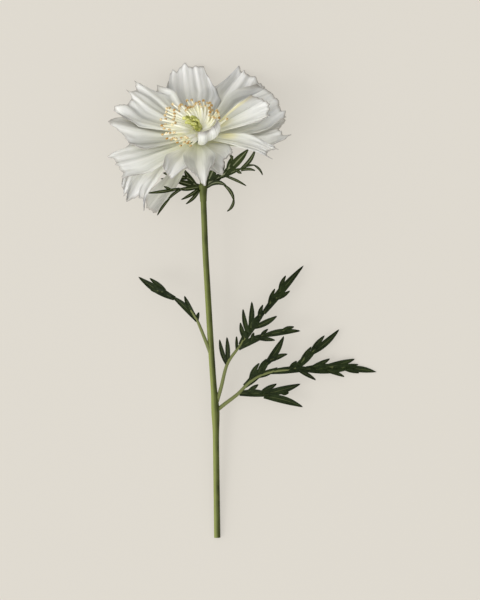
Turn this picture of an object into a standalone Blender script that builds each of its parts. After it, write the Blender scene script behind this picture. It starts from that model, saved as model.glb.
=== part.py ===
"""A white nigella flower, cut and laid on a flat surface, face up.

It lies on the petals behind its bloom, on its cut stem end and on the tip of its right leaf.
The stem runs along Y, with the bloom at its +Y end, and the bloom faces between +Z and +Y.
Sizes below are in millimetres and angles in degrees; everything is built in metres.
"""

import math
import random

import bmesh
import bpy
from mathutils import Matrix, Vector, geometry

MM = 0.001
MERGE = 0.00001                              # metres; closer points become one

# Bloom: where the petals' plane meets the bloom's axis, and how far that axis leans from +Z to +Y.
BLOOM_CENTRE = Vector((-15.0, 54.7, 21.6))
BLOOM_TILT = 41.0
PETAL_THICKNESS = 0.6
GAP = 0.3                                    # what one piece keeps from its neighbour
LOWEST_LEVEL = -2.5                          # of the petals' roots, along the axis from the centre
LEVEL_STEP = 1.25                            # from one level of petals to the next
RIM_RADIUS = 31.0
RUFFLE = 2.0                                 # height of the petals' waves at the rim
RUFFLE_START = 6.0                           # from the axis out, where the waves begin
RUFFLE_GROWTH = 1.4                          # how fast they grow from there to the rim, as a power
RUFFLE_WAVES = ((0.55, 13, 0.6), (0.35, 8, 2.1), (0.25, 19, 1.0))   # share, waves a turn, phase
SURFACE_SOFTNESS = 1.0                       # over this height a petal or tip bends flat onto the surface
PETAL_COLUMNS = 8
PETAL_ROWS = 9
TIP_NARROWING = 0.15                         # share of its width that a petal loses towards its tip
WIDEST_SHARE = 0.7                           # how far along a petal it begins to narrow
CUP_ANGLE = math.radians(130.0)              # how far round a cupped petal curls from root to tip

# Receptacle: it carries the petals on its side and the stamens on its top.
RECEPTACLE_RADIUS = 2.5
RECEPTACLE_BOTTOM = -4.2
RECEPTACLE_TOP = 3.4
CLAW_RADIUS = RECEPTACLE_RADIUS + GAP        # where every petal begins

# Stamens: a cushion on the receptacle with filaments that fan out to a ring of anthers.
CUSHION_RADIUS = 3.1
CUSHION_BOTTOM = RECEPTACLE_TOP + GAP
CUSHION_TOP = CUSHION_BOTTOM + 1.0
STAMEN_COUNT = 38
STAMEN_SPREAD = 11.0
STAMEN_RISE = 7.9                            # height of the anthers above the bloom's centre
FILAMENT_ROOT = 1.9                          # from the axis to where the filaments stand
FILAMENT_RADIUS = 0.3
ANTHER_RADIUS = 0.5
RING_SHIFT = -1.6                            # the ring of anthers leans a little to the left
INNER_PETAL_GAP = (-90.0, 8.0)              # azimuths where the small inner petal takes their place

# Pistil: a small ovary on the cushion, with styles that stand up and lean to the left.
OVARY_BOTTOM = CUSHION_TOP + GAP
OVARY_RADIUS = 1.5
OVARY_HEIGHT = 2.6
STYLE_COUNT = 6
STYLE_TOP = 11.0
STYLE_SPREAD = 1.5
STYLE_LEAN = -2.2
STYLE_RADIUS = 0.5
STIGMA_RADIUS = 0.6

# Stem: places of its centre below the bloom's centre, as (drop along -Y, shift along +X).
STEM_RADIUS = 1.1
STEM_BENDS = ((15.0, 1.6), (39.0, 2.5), (73.0, 4.5), (93.0, 5.9), (113.0, 6.2), (136.0, 6.5))
STEM_STEPS = 12                              # between those places, closer together towards the neck
STEM_TAPER = 0.08                            # what the stem's radius loses from its cut end to its neck
STEM_LEAN_COSINE = 0.995                     # of the stem's climb, so that its cut end just touches down
NECK_BASE = BLOOM_CENTRE + Vector((1.6, -15.0, -8.3))   # where the straight stem ends and the neck bends
NECK_SAG = Vector((0.0, 1.6, -1.7))          # how far the neck's bend lies outside its straight line
STEM_END_HEIGHT = STEM_RADIUS * STEM_LEAN_COSINE
NODE_DROP = 93.0                             # where the two lower leaves leave the stem
NODE_SWELL = 0.35
NODE_LENGTH = 5.0
LEFT_LEAF_DROP = 73.8
MIDDLE_LEAF_DROP = 91.5
RIGHT_LEAF_DROP = 92.8

# Blades of the leaves and bracts
BLADE_THICKNESS = 0.6
LEAF_KEEL = 0.25                             # how far a lobe's midrib is sunk below its edges
BRACT_KEEL = 0.15
BRACT_DROOP = 0.012                          # share of its rise that a bract loses for each mm of reach
LOBE_WIDTHS = ((0.0, 0.6), (0.38, 1.0), (0.75, 0.7))   # share of a lobe's length, share of its width
LOBE_MERGE = 0.03
PETIOLE_RADIUS = 0.71
PETIOLE_TAPER = 0.45

# Involucre: a collar round the top of the stem, from which finely cut bracts spread below the bloom.
COLLAR_DROP = 16.6
COLLAR_RADIUS = 2.2
COLLAR_HEIGHT = 2.4

STEM_GREEN = (0.17, 0.2, 0.06)
LEAF_GREEN = (0.02, 0.04, 0.01)
PETAL_WHITE = (0.86, 0.86, 0.83)
STAMEN_CREAM = (0.72, 0.66, 0.38)
PISTIL_GREEN = (0.3, 0.38, 0.06)

# The bloom's own directions: to its right, to its rear and out of its face.
TILT = math.radians(BLOOM_TILT)
SIDE = Vector((1.0, 0.0, 0.0))
REAR = Vector((0.0, math.cos(TILT), -math.sin(TILT)))
FACE = Vector((0.0, math.sin(TILT), math.cos(TILT)))

# Each petal: azimuth seen from the front (0 is the right, 90 the rear), its level, how far it leans up
# from the bloom's plane, reach from the axis, half width, how far its tip bends round, the half angle
# that it fills near the axis, and its crown: the reach of its toothed edge from its right side to its
# left, as shares of the full reach. A cupped petal curls in again over its cup, the height of its tip.
PETALS = {
    "petal_rear": dict(
        azimuth=97.0, level=2, lean=0.0, reach=35.0, half_width=11.0, bend=0.0, fan=30.0,
        crown=(0.69, 0.79, 0.925, 0.93, 1.0, 0.985, 0.99, 0.82, 0.69)),
    "petal_rear_left": dict(
        azimuth=143.0, level=4, lean=2.0, reach=31.4, half_width=10.6, bend=0.0, fan=30.0,
        crown=(0.82, 0.8, 0.99, 0.9, 0.98, 0.867, 0.9, 0.99, 0.86)),
    "petal_left": dict(
        azimuth=171.0, level=3, lean=0.0, reach=31.2, half_width=10.4, bend=0.0, fan=28.0,
        crown=(0.82, 0.88, 0.95, 0.98, 1.0, 0.88, 0.795, 0.73, 0.66)),
    "petal_left_front": dict(
        azimuth=198.0, level=2, lean=-4.0, reach=31.8, half_width=9.4, bend=0.0, fan=25.0,
        crown=(0.72, 0.78, 0.95, 0.96, 0.9, 0.92, 0.905, 0.94, 0.84)),
    "petal_front_left_long": dict(
        azimuth=196.5, level=1, lean=-11.0, reach=33.6, half_width=8.0, bend=26.0, fan=22.0,
        crown=(0.89, 0.9, 0.93, 0.93, 0.98, 0.92, 0.915, 0.89, 0.95)),
    "petal_bent_back": dict(
        azimuth=220.0, level=0, lean=-52.0, reach=20.0, half_width=6.8, bend=-8.0, fan=16.0,
        crown=(0.9, 0.96, 0.98, 1.0, 0.99, 0.98, 0.97, 0.94, 0.78)),
    "petal_front_left": dict(
        azimuth=250.0, level=2, lean=15.0, reach=25.6, half_width=6.8, bend=0.0, fan=26.0,
        crown=(0.78, 0.82, 0.88, 0.95, 1.02, 0.74, 0.67, 0.65, 0.6)),
    "petal_front": dict(
        azimuth=271.0, level=3, lean=18.0, reach=28.6, half_width=5.6, bend=3.0, fan=28.0,
        crown=(0.7, 0.76, 0.79, 0.91, 1.02, 0.94, 0.77, 0.67, 0.62)),
    "petal_front_right": dict(
        azimuth=303.0, level=1, lean=14.0, reach=19.4, half_width=8.4, bend=0.0, fan=42.0,
        crown=(0.84, 0.87, 0.97, 0.97, 0.84, 0.74, 0.72, 0.72, 0.66)),
    "petal_right_front": dict(
        azimuth=353.0, level=3, lean=4.0, reach=29.4, half_width=3.6, bend=-12.0, fan=13.0,
        crown=(0.96, 0.87, 0.86, 0.855, 0.87, 0.9, 0.96, 0.92, 0.88)),
    "petal_right": dict(
        azimuth=12.0, level=1, lean=0.0, reach=33.0, half_width=10.0, bend=0.0, fan=23.0,
        crown=(0.76, 0.9, 0.9, 0.86, 0.84, 0.93, 1.0, 0.965, 0.94)),
    "petal_rear_right": dict(
        azimuth=34.0, level=2, lean=3.0, reach=32.2, half_width=10.4, bend=0.0, fan=29.0,
        crown=(0.97, 1.0, 0.955, 0.99, 0.966, 0.985, 0.97, 1.0, 0.97)),
    "petal_rear_right_long": dict(
        azimuth=62.0, level=1, lean=1.0, reach=37.0, half_width=10.2, bend=0.0, fan=26.0,
        crown=(0.91, 0.925, 0.93, 0.915, 0.94, 0.98, 1.02, 0.72, 0.61)),
    "petal_under_rear": dict(
        azimuth=118.0, level=0, lean=0.0, reach=28.5, half_width=10.0, bend=0.0, fan=34.0,
        crown=(0.8, 0.92, 0.96, 0.92, 1.0, 0.93, 0.98, 0.9, 0.8)),
    "petal_inner_right": dict(
        azimuth=19.0, level=3, lean=15.0, reach=26.5, half_width=6.8, bend=0.0, fan=12.5,
        crown=(0.82, 0.9, 0.95, 0.94, 0.98, 1.0, 0.97, 0.94, 0.8)),
    "petal_inner_front": dict(
        azimuth=316.0, level=4, lean=0.0, reach=7.8, half_width=5.9, bend=0.0, fan=46.0, cup=8.6,
        crown=(0.86, 0.98, 0.95, 0.82, 0.95, 1.0, 1.0, 0.98, 0.86)),
}

# Each leaf: where it leaves the stem, its petiole's course from there, how its height runs over its
# reach (rise for each millimetre to the side, height half way, height at the end), and its lobes as
# (root end, tip, half width, sideways bend).
LEAVES = {
    "leaf_left": dict(
        drop=LEFT_LEAF_DROP, reach=(-25.0, 27.0), heights=(0.1, 6.0, -1.0),
        petiole=((0.0, 0.0), (-2.0, 5.1), (-4.8, 11.9), (-7.1, 15.6)),
        lobes=(((-4.9, 12.0), (-13.8, 20.5), 1.1, -0.6), ((-12.6, 19.6), (-25.0, 27.0), 1.3, 0.5),
               ((-15.8, 22.3), (-21.1, 26.5), 0.8, 0.0), ((-16.0, 21.9), (-20.7, 22.3), 0.8, 0.0),
               ((-6.2, 14.6), (-9.2, 20.4), 0.8, 0.3), ((-4.8, 12.0), (-4.3, 14.8), 0.6, 0.2))),
    "leaf_middle": dict(
        drop=MIDDLE_LEAF_DROP, reach=(30.3, 48.6), heights=(0.05, 5.5, -2.2),
        petiole=((0.0, 0.0), (2.0, 6.8), (4.1, 14.8), (7.5, 19.9), (10.2, 23.8)),
        lobes=(((8.6, 21.4), (18.0, 34.2), 1.3, 0.5), ((16.6, 32.3), (30.3, 48.6), 1.25, 0.3),
               ((4.1, 14.6), (1.5, 23.3), 0.75, 0.4), ((4.2, 15.2), (4.0, 24.1), 0.8, -0.2),
               ((7.4, 19.6), (7.3, 24.3), 0.45, 0.0), ((10.2, 23.2), (8.6, 29.0), 0.8, 0.2),
               ((11.4, 24.8), (9.5, 33.7), 0.8, 0.3), ((11.9, 26.2), (12.5, 36.2), 0.95, -0.3),
               ((15.0, 30.2), (16.3, 35.1), 0.7, 0.3), ((18.4, 34.4), (20.4, 40.6), 0.75, 0.3),
               ((22.0, 39.4), (24.1, 45.1), 0.75, 0.3), ((20.0, 37.0), (25.5, 39.9), 0.8, -0.3),
               ((13.4, 27.4), (21.1, 31.3), 1.0, -0.3), ((8.0, 20.2), (19.0, 25.2), 1.2, 0.6),
               ((16.8, 24.6), (29.1, 26.2), 1.1, 0.5), ((22.8, 26.2), (26.9, 27.6), 0.7, 0.2),
               ((12.2, 22.8), (13.2, 25.6), 0.6, 0.0), ((15.4, 24.0), (18.0, 26.8), 0.6, 0.2),
               ((15.0, 23.4), (20.4, 23.0), 0.7, 0.2))),
    "leaf_right": dict(
        drop=RIGHT_LEAF_DROP, reach=(55.1, 13.4), heights=(0.05, 2.4, -7.0),
        petiole=((0.0, 0.0), (3.4, 2.7), (7.7, 6.0), (11.6, 9.9), (15.6, 12.3), (20.1, 13.7), (25.2, 14.2)),
        lobes=(((18.7, 13.4), (34.6, 14.6), 1.2, 0.3), ((31.0, 14.4), (47.0, 14.8), 1.7, 0.0),
               ((44.5, 14.7), (55.1, 13.4), 1.1, 0.3), ((26.4, 14.4), (35.0, 22.2), 1.2, -0.4),
               ((32.4, 19.6), (42.3, 28.0), 1.1, -0.5), ((32.6, 19.8), (37.3, 25.9), 0.9, 0.2),
               ((28.8, 15.8), (32.8, 22.1), 0.8, 0.2), ((25.2, 14.2), (27.8, 17.2), 0.6, 0.2),
               ((32.6, 14.8), (39.1, 18.0), 0.9, -0.2), ((36.6, 14.8), (47.7, 17.9), 1.2, -0.3),
               ((42.0, 14.8), (48.9, 16.0), 0.8, 0.0), ((28.4, 14.0), (34.3, 10.7), 0.7, 0.2),
               ((36.6, 14.4), (44.1, 11.8), 0.8, 0.3), ((44.4, 14.3), (49.1, 13.1), 0.7, 0.1),
               ((10.0, 8.6), (18.6, 17.6), 1.3, -0.4), ((17.2, 16.0), (23.4, 25.7), 1.2, -0.5),
               ((18.0, 17.0), (24.6, 19.6), 0.9, 0.3), ((14.6, 13.2), (17.4, 17.9), 0.7, 0.2),
               ((11.8, 11.0), (15.0, 16.5), 0.8, 0.3), ((14.0, 11.9), (21.2, 15.0), 1.0, -0.3),
               ((8.3, 6.1), (19.6, 5.4), 1.3, 0.5), ((16.6, 5.2), (29.9, 1.5), 1.3, 0.6),
               ((16.0, 5.9), (29.1, 9.4), 1.3, -0.4), ((15.6, 6.4), (20.9, 9.4), 0.9, 0.0),
               ((10.9, 6.4), (14.6, 9.2), 0.8, 0.0), ((22.6, 6.2), (25.0, 6.4), 0.8, 0.0))),
}

# Each bract: how steeply it rises as it leaves the stem, how far it is turned about the stem's run,
# and its lobes as on a leaf, from the collar's middle.
BRACTS = (
    dict(slope=0.75, turn=0.0, lobes=(
        ((-1.2, 0.5), (-9.0, -0.4), 0.75, 0.3), ((-8.0, -0.2), (-18.8, -1.8), 0.55, 0.2),
        ((-10.8, -0.7), (-13.2, 0.5), 0.45, 0.0), ((-7.0, -0.3), (-12.2, -4.6), 0.5, -0.5),
        ((-11.5, -3.8), (-15.5, -9.4), 0.45, -0.2))),
    dict(slope=-0.1, turn=0.0, lobes=(
        ((-1.2, 0.7), (-10.6, 3.0), 1.0, 0.2), ((-2.6, 1.3), (-6.4, 6.4), 1.0, 0.4),
        ((-5.0, 3.4), (-10.4, 4.6), 0.8, 0.2), ((-9.2, 2.9), (-14.4, 3.2), 0.5, 0.0),
        ((-9.4, 4.3), (-13.6, 5.2), 0.7, 0.0))),
    dict(slope=0.75, turn=0.0, lobes=(
        ((-0.8, 0.2), (-7.4, -4.0), 0.6, 0.3), ((-1.2, -0.6), (-5.8, -5.5), 0.6, 0.4))),
    dict(slope=0.2, turn=0.0, lobes=(
        ((1.2, 0.5), (8.6, 6.0), 1.2, 0.2), ((7.6, 5.2), (15.6, 13.4), 1.4, -0.2),
        ((5.4, 4.2), (7.2, 9.2), 0.8, -0.2), ((8.4, 6.2), (10.2, 11.0), 0.9, 0.0),
        ((9.8, 9.0), (8.2, 13.4), 0.35, -0.4), ((1.6, 0.8), (4.4, 7.6), 1.7, 0.3),
        ((4.6, 3.2), (13.6, 6.8), 0.9, 0.2), ((12.8, 6.4), (17.9, 13.4), 0.7, -0.8),
        ((11.4, 5.9), (13.1, 5.0), 0.5, 0.0), ((13.0, 6.0), (17.8, 5.9), 0.5, 0.5),
        ((13.6, 6.6), (18.0, 7.6), 0.35, 0.6), ((17.2, 7.9), (20.3, 4.4), 0.35, 0.5),
        ((7.2, 4.2), (14.8, 0.7), 0.45, 0.3))),
    dict(slope=0.5, turn=0.0, lobes=(
        ((1.4, 0.4), (8.4, 0.4), 0.8, 1.5), ((7.4, 0.9), (10.6, -4.8), 0.6, 0.7),
        ((10.5, -3.9), (8.2, -8.0), 0.5, 0.6))),
    dict(slope=-0.35, turn=78.0, lobes=(
        ((0.6, 0.6), (7.4, 4.2), 1.1, 0.4), ((6.4, 3.6), (12.0, 9.6), 0.8, 0.4),
        ((5.6, 3.4), (6.2, 8.6), 0.7, 0.0), ((6.0, 3.0), (12.2, 3.4), 0.6, 0.0))),
    dict(slope=0.35, turn=108.0, lobes=(
        ((0.6, 0.6), (7.0, 3.6), 1.1, 0.3), ((6.0, 3.0), (11.4, 8.0), 0.8, 0.4),
        ((5.2, 2.6), (6.4, 7.6), 0.7, 0.0), ((5.8, 2.6), (11.6, 2.4), 0.6, 0.0))),
)


def clear_scene():
    for item in list(bpy.data.objects):
        bpy.data.objects.remove(item, do_unlink=True)


def new_collection(name):
    made = bpy.data.collections.new(name)
    bpy.context.scene.collection.children.link(made)
    return made


def material(name, colour, roughness):
    made = bpy.data.materials.new(name)
    made.use_nodes = True
    shader = made.node_tree.nodes["Principled BSDF"]
    shader.inputs["Base Color"].default_value = (*colour, 1.0)
    shader.inputs["Roughness"].default_value = roughness
    shader.inputs["Metallic"].default_value = 0.0
    return made


def add_object(name, data, home, finish=None):
    made = bpy.data.objects.new(name, data)
    home.objects.link(made)
    if finish:
        data.materials.append(finish)
    return made


def solidify(piece, thickness):
    wall = piece.modifiers.new("Thickness", "SOLIDIFY")
    wall.thickness = thickness * MM
    wall.offset = 0.0


def applied(piece):
    """The object with its modifiers, or its curve, turned into a plain closed mesh."""
    bpy.context.view_layer.update()
    graph = bpy.context.evaluated_depsgraph_get()
    mesh = bpy.data.meshes.new_from_object(piece.evaluated_get(graph))
    work = bmesh.new()
    work.from_mesh(mesh)
    bmesh.ops.remove_doubles(work, verts=work.verts, dist=MERGE)
    bmesh.ops.recalc_face_normals(work, faces=work.faces)
    work.to_mesh(mesh)
    work.free()
    name = piece.name
    home = piece.users_collection[0]
    place = piece.matrix_world.copy()
    bpy.data.objects.remove(piece, do_unlink=True)
    made = add_object(name, mesh, home)
    made.matrix_world = place
    return made


def tube(name, points, radii, home, finish=None, roundness=2):
    """A round stalk along points in millimetres, with a radius at each."""
    curve = bpy.data.curves.new(name, "CURVE")
    curve.dimensions = "3D"
    curve.bevel_depth = MM
    curve.bevel_resolution = roundness
    curve.use_fill_caps = True
    line = curve.splines.new("POLY")
    line.points.add(len(points) - 1)
    for point, place, radius in zip(line.points, points, radii):
        point.co = (*(Vector(place) * MM), 1.0)
        point.radius = radius
    return applied(add_object(name, curve, home, finish))


def turned(name, profile, place, axis, home, finish, segments):
    """A round piece about an axis: an outer profile of (radius, height), from its top down."""
    mesh = bpy.data.meshes.new(name)
    closed = profile[0][0] > 0.0
    last = len(profile) if closed else len(profile) - 1
    edges = [(number, (number + 1) % len(profile)) for number in range(last)]
    mesh.from_pydata([Vector((radius, 0.0, height)) * MM for radius, height in profile], edges, [])
    made = add_object(name, mesh, home, finish)
    screw = made.modifiers.new("Turned", "SCREW")
    screw.steps = segments
    screw.render_steps = segments
    screw.use_merge_vertices = True
    screw.merge_threshold = MERGE
    made.matrix_world = Matrix.LocRotScale(place * MM, axis.to_track_quat("Z", "Y"), None)
    return applied(made)


def straight_stalk(name, start, end, start_radius, end_radius, sides, home):
    """A thin tapered stalk between two points in millimetres."""
    run = end - start
    mesh = bpy.data.meshes.new(name)
    work = bmesh.new()
    bmesh.ops.create_cone(work, cap_ends=True, segments=sides, radius1=start_radius * MM,
                          radius2=end_radius * MM, depth=run.length * MM)
    turn = run.to_track_quat("Z", "Y").to_matrix().to_4x4()
    work.transform(Matrix.Translation((start + end) * 0.5 * MM) @ turn)
    work.to_mesh(mesh)
    work.free()
    return add_object(name, mesh, home)


def bead(name, place, radius, half_length, direction, home):
    """A small rounded body of few faces, longer along one direction."""
    mesh = bpy.data.meshes.new(name)
    work = bmesh.new()
    bmesh.ops.create_uvsphere(work, u_segments=5, v_segments=4, radius=MM)
    turn = direction.to_track_quat("Z", "Y").to_matrix().to_4x4()
    size = Matrix.Diagonal((radius, radius, half_length, 1.0))
    work.transform(Matrix.Translation(place * MM) @ turn @ size)
    work.to_mesh(mesh)
    work.free()
    return add_object(name, mesh, home)


def joined(name, pieces, finish, home, solver="EXACT"):
    """One body from pieces that are sunk into each other."""
    base, rest = pieces[0], pieces[1:]
    group = new_collection(name + " parts")
    for piece in rest:
        for owner in list(piece.users_collection):
            owner.objects.unlink(piece)
        group.objects.link(piece)
    union = base.modifiers.new("Grown together", "BOOLEAN")
    union.operation = "UNION"
    union.operand_type = "COLLECTION"
    union.collection = group
    union.solver = solver
    made = applied(base)
    for piece in list(group.objects):
        bpy.data.objects.remove(piece, do_unlink=True)
    bpy.data.collections.remove(group)
    made.name = name
    for owner in list(made.users_collection):
        owner.objects.unlink(made)
    home.objects.link(made)
    made.data.materials.clear()
    made.data.materials.append(finish)
    return made


def cut_clear(piece, cutter):
    cut = piece.modifiers.new("Clear of the stem", "BOOLEAN")
    cut.operation = "DIFFERENCE"
    cut.object = cutter
    cut.solver = "EXACT"


def smooth_step(value):
    value = min(max(value, 0.0), 1.0)
    return value * value * (3.0 - 2.0 * value)


def along_curve(points, steps):
    """Places on a smooth curve through the points, for a stalk that bends."""
    def pick(number):
        return Vector(points[min(max(number, 0), len(points) - 1)])

    places = []
    for number in range(len(points) - 1):
        before, start, end, after = (pick(number + shift) for shift in (-1, 0, 1, 2))
        for step in range(steps):
            t = step / steps
            places.append(0.5 * ((2.0 * start) + (end - before) * t
                                 + (2.0 * before - 5.0 * start + 4.0 * end - after) * t * t
                                 + (3.0 * start - before - 3.0 * end + after) * t ** 3))
    places.append(pick(len(points) - 1))
    return places


def in_bloom(radius, azimuth, height):
    """A point by its distance from the bloom's axis, its azimuth in radians and its height."""
    flat = SIDE * math.cos(azimuth) + REAR * math.sin(azimuth)
    return BLOOM_CENTRE + flat * radius + FACE * height


def on_surface(point, half_thickness):
    """Bends what would dip below the surface flat onto it, over the last millimetre."""
    depth = point.z - half_thickness
    if depth <= -SURFACE_SOFTNESS:
        return Vector((point.x, point.y, half_thickness))
    if depth < SURFACE_SOFTNESS:
        lift = (depth + SURFACE_SOFTNESS) ** 2 / (4.0 * SURFACE_SOFTNESS)
        return Vector((point.x, point.y, half_thickness + lift))
    return point


def ruffle(azimuth, radius):
    """The waves that all petals share, so that one level lies in the folds of the next."""
    if radius <= RUFFLE_START:
        return 0.0
    growth = ((radius - RUFFLE_START) / (RIM_RADIUS - RUFFLE_START)) ** RUFFLE_GROWTH
    wave = sum(share * math.sin(count * azimuth + phase) for share, count, phase in RUFFLE_WAVES)
    return RUFFLE * growth * wave


def petal_point(spec, along, across):
    """A point of the petal's middle surface: along 0 to 1 from the claw, across -1 to 1."""
    crown = spec["crown"]
    place = (1.0 - across) * 0.5 * (len(crown) - 1)
    index = min(int(place), len(crown) - 2)
    share = crown[index] + (crown[index + 1] - crown[index]) * (place - index)
    curl = along * CUP_ANGLE
    out = math.sin(curl) if "cup" in spec else along
    radius = CLAW_RADIUS + (spec["reach"] * share - CLAW_RADIUS) * out
    narrowing = 1.0 - TIP_NARROWING * smooth_step((along - WIDEST_SHARE) / (1.0 - WIDEST_SHARE))
    half_angle = min(spec["half_width"] * narrowing / radius, math.radians(spec["fan"]))
    azimuth = math.radians(spec["azimuth"] + spec["bend"] * along * along) - across * half_angle
    lift = (radius - CLAW_RADIUS) * math.tan(math.radians(spec["lean"]))
    lift += spec.get("cup", 0.0) * share * (1.0 - math.cos(curl)) / (1.0 - math.cos(CUP_ANGLE))
    height = LOWEST_LEVEL + LEVEL_STEP * spec["level"] + lift + ruffle(azimuth, radius)
    return in_bloom(radius, azimuth, height)


def build_petal(name, spec, home, finish):
    mesh = bpy.data.meshes.new(name)
    work = bmesh.new()
    bmesh.ops.create_grid(work, x_segments=PETAL_COLUMNS, y_segments=PETAL_ROWS, size=1.0)
    for vert in work.verts:
        place = petal_point(spec, (vert.co.y + 1.0) * 0.5, vert.co.x)
        vert.co = on_surface(place, PETAL_THICKNESS * 0.5) * MM
    bmesh.ops.triangulate(work, faces=work.faces, quad_method="SHORT_EDGE")
    work.to_mesh(mesh)
    work.free()
    solidify(add_object(name, mesh, home, finish), PETAL_THICKNESS)


def stem_place(drop):
    """The stem's centre at a distance along -Y from the bloom's centre, below the involucre."""
    for (start, start_x), (end, end_x) in zip(STEM_BENDS, STEM_BENDS[1:]):
        if drop <= end:
            break
    x = start_x + (end_x - start_x) * (drop - start) / (end - start)
    share = (drop - STEM_BENDS[0][0]) / (STEM_BENDS[-1][0] - STEM_BENDS[0][0])
    z = NECK_BASE.z + (STEM_END_HEIGHT - NECK_BASE.z) * share
    return Vector((BLOOM_CENTRE.x + x, BLOOM_CENTRE.y - drop, z))


def stem_line():
    """Places along the stem from its cut end to the receptacle, closer together towards the neck."""
    neck, cut_end = STEM_BENDS[0][0], STEM_BENDS[-1][0]
    shares = [(1.0 - number / STEM_STEPS) ** 1.5 for number in range(STEM_STEPS + 1)]
    below = [stem_place(neck + (cut_end - neck) * share) for share in shares]
    top = BLOOM_CENTRE + FACE * (RECEPTACLE_BOTTOM + 1.2)
    return along_curve(below + [NECK_BASE.lerp(top, 0.42) + NECK_SAG, top - FACE * 2.6, top], 2)


def stem_radius(place):
    drop = BLOOM_CENTRE.y - place.y
    swell = NODE_SWELL * math.exp(-((drop - NODE_DROP) / NODE_LENGTH) ** 2)
    return STEM_RADIUS + swell - STEM_TAPER * (1.0 - drop / STEM_BENDS[-1][0])


def build_stem(home, finish):
    """The stem rises from its cut end to the involucre, and its neck bends up to the receptacle."""
    line = stem_line()
    stalk = tube("stem stalk", line, [stem_radius(place) for place in line], home, finish)
    receptacle = turned("receptacle", [
        (0.0, RECEPTACLE_TOP), (RECEPTACLE_RADIUS - 0.3, RECEPTACLE_TOP),
        (RECEPTACLE_RADIUS, RECEPTACLE_TOP - 0.4), (RECEPTACLE_RADIUS, RECEPTACLE_BOTTOM + 1.0),
        (STEM_RADIUS + 0.3, RECEPTACLE_BOTTOM), (0.0, RECEPTACLE_BOTTOM),
    ], BLOOM_CENTRE, FACE, home, finish, 16)
    joined("stem", [stalk, receptacle], finish, home)


def build_stem_room(home):
    """A wider copy of the stem: what sits on the stem is cut by it to keep its gap."""
    line = stem_line()
    room = tube("stem room", line, [stem_radius(place) + GAP for place in line], home)
    room.hide_render = True
    room.display_type = "WIRE"
    return room


def lobe_spots(base, tip, half_width, bend):
    """A narrow pointed lobe: the points of its edge all the way round, and those of its midrib."""
    base, tip = Vector(base), Vector(tip)
    run = tip - base
    across = Vector((-run.y, run.x)).normalized()

    def spot(share, side):
        sway = bend * 4.0 * share * (1.0 - share)
        return base + run * share + across * (sway + side * half_width)

    right = [spot(share, -width) for share, width in LOBE_WIDTHS]
    left = [spot(share, width) for share, width in reversed(LOBE_WIDTHS)]
    return right + [spot(1.0, 0.0)] + left, [spot(share, 0.0) for share, _ in LOBE_WIDTHS]


def blade(name, lobes, root, height, keel, home, finish, turn=Matrix.Identity(3)):
    """A cut blade: all its lobes in one outline, with their midribs sunk a little, bent by height(x, y)."""
    spots, ribs, outlines, rib_spots = [], [], [], set()
    for lobe in lobes:
        edge, rib = lobe_spots(*lobe)
        start = len(spots)
        rib_start = start + len(edge)
        spots += edge + rib
        outlines.append(list(range(start, rib_start)) + [rib_start])
        rib_run = list(range(rib_start, rib_start + len(rib)))
        tip = start + len(LOBE_WIDTHS)
        ribs += list(zip(rib_run, rib_run[1:] + [tip]))
        rib_spots |= set(rib_run)
    flat, _, faces, sources, _, _ = geometry.delaunay_2d_cdt(spots, ribs, outlines, 1, LOBE_MERGE)
    points = []
    for spot, source in zip(flat, sources):
        sunk = keel if rib_spots & set(source) else 0.0
        point = root + turn @ Vector((spot.x, spot.y, height(spot.x, spot.y) - sunk))
        points.append(on_surface(point, BLADE_THICKNESS * 0.5) * MM)
    mesh = bpy.data.meshes.new(name)
    mesh.from_pydata(points, [], faces)
    made = add_object(name, mesh, home, finish)
    solidify(made, BLADE_THICKNESS)
    return applied(made)


def arched(reach, rise, middle, end):
    """A height that goes from 0 at the root over a middle height to an end height along a reach (x, y)."""
    reach = Vector(reach)

    def height(x, y):
        share = min(max(Vector((x, y)).dot(reach) / reach.length_squared, 0.0), 1.15)
        side = abs(Vector((x, y)).cross(reach)) / reach.length
        return 2.0 * share * (1.0 - share) * middle + share * share * end + rise * side
    return height


def build_leaf(name, spec, stem_room, home, finish):
    root = stem_place(spec["drop"])
    height = arched(spec["reach"], *spec["heights"])
    places = [root + Vector((x, y, height(x, y) - LEAF_KEEL)) for x, y in spec["petiole"]]
    line = along_curve(places, 3)
    radii = [PETIOLE_RADIUS * (1.0 - PETIOLE_TAPER * number / (len(line) - 1)) for number in range(len(line))]
    petiole = tube(name + " petiole", line, radii, home, finish, 1)
    cut = blade(name + " blade", spec["lobes"], root, height, LEAF_KEEL, home, finish)
    cut_clear(joined(name, [cut, petiole], finish, home, "MANIFOLD"), stem_room)


def stamen_places():
    """The root and the anther of each filament, by a seeded draw."""
    draw = random.Random(7)
    for number in range(STAMEN_COUNT):
        degrees = 360.0 * (number + 0.35 * draw.uniform(-1.0, 1.0)) / STAMEN_COUNT
        reach = STAMEN_SPREAD * draw.uniform(0.84, 1.04)
        rise = STAMEN_RISE + draw.uniform(-0.9, 0.7)
        if INNER_PETAL_GAP[0] < (degrees + 180.0) % 360.0 - 180.0 < INNER_PETAL_GAP[1]:
            continue
        azimuth = math.radians(degrees)
        root = in_bloom(FILAMENT_ROOT, azimuth, CUSHION_TOP - 0.35)
        yield root, in_bloom(reach, azimuth, rise) + SIDE * RING_SHIFT


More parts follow.
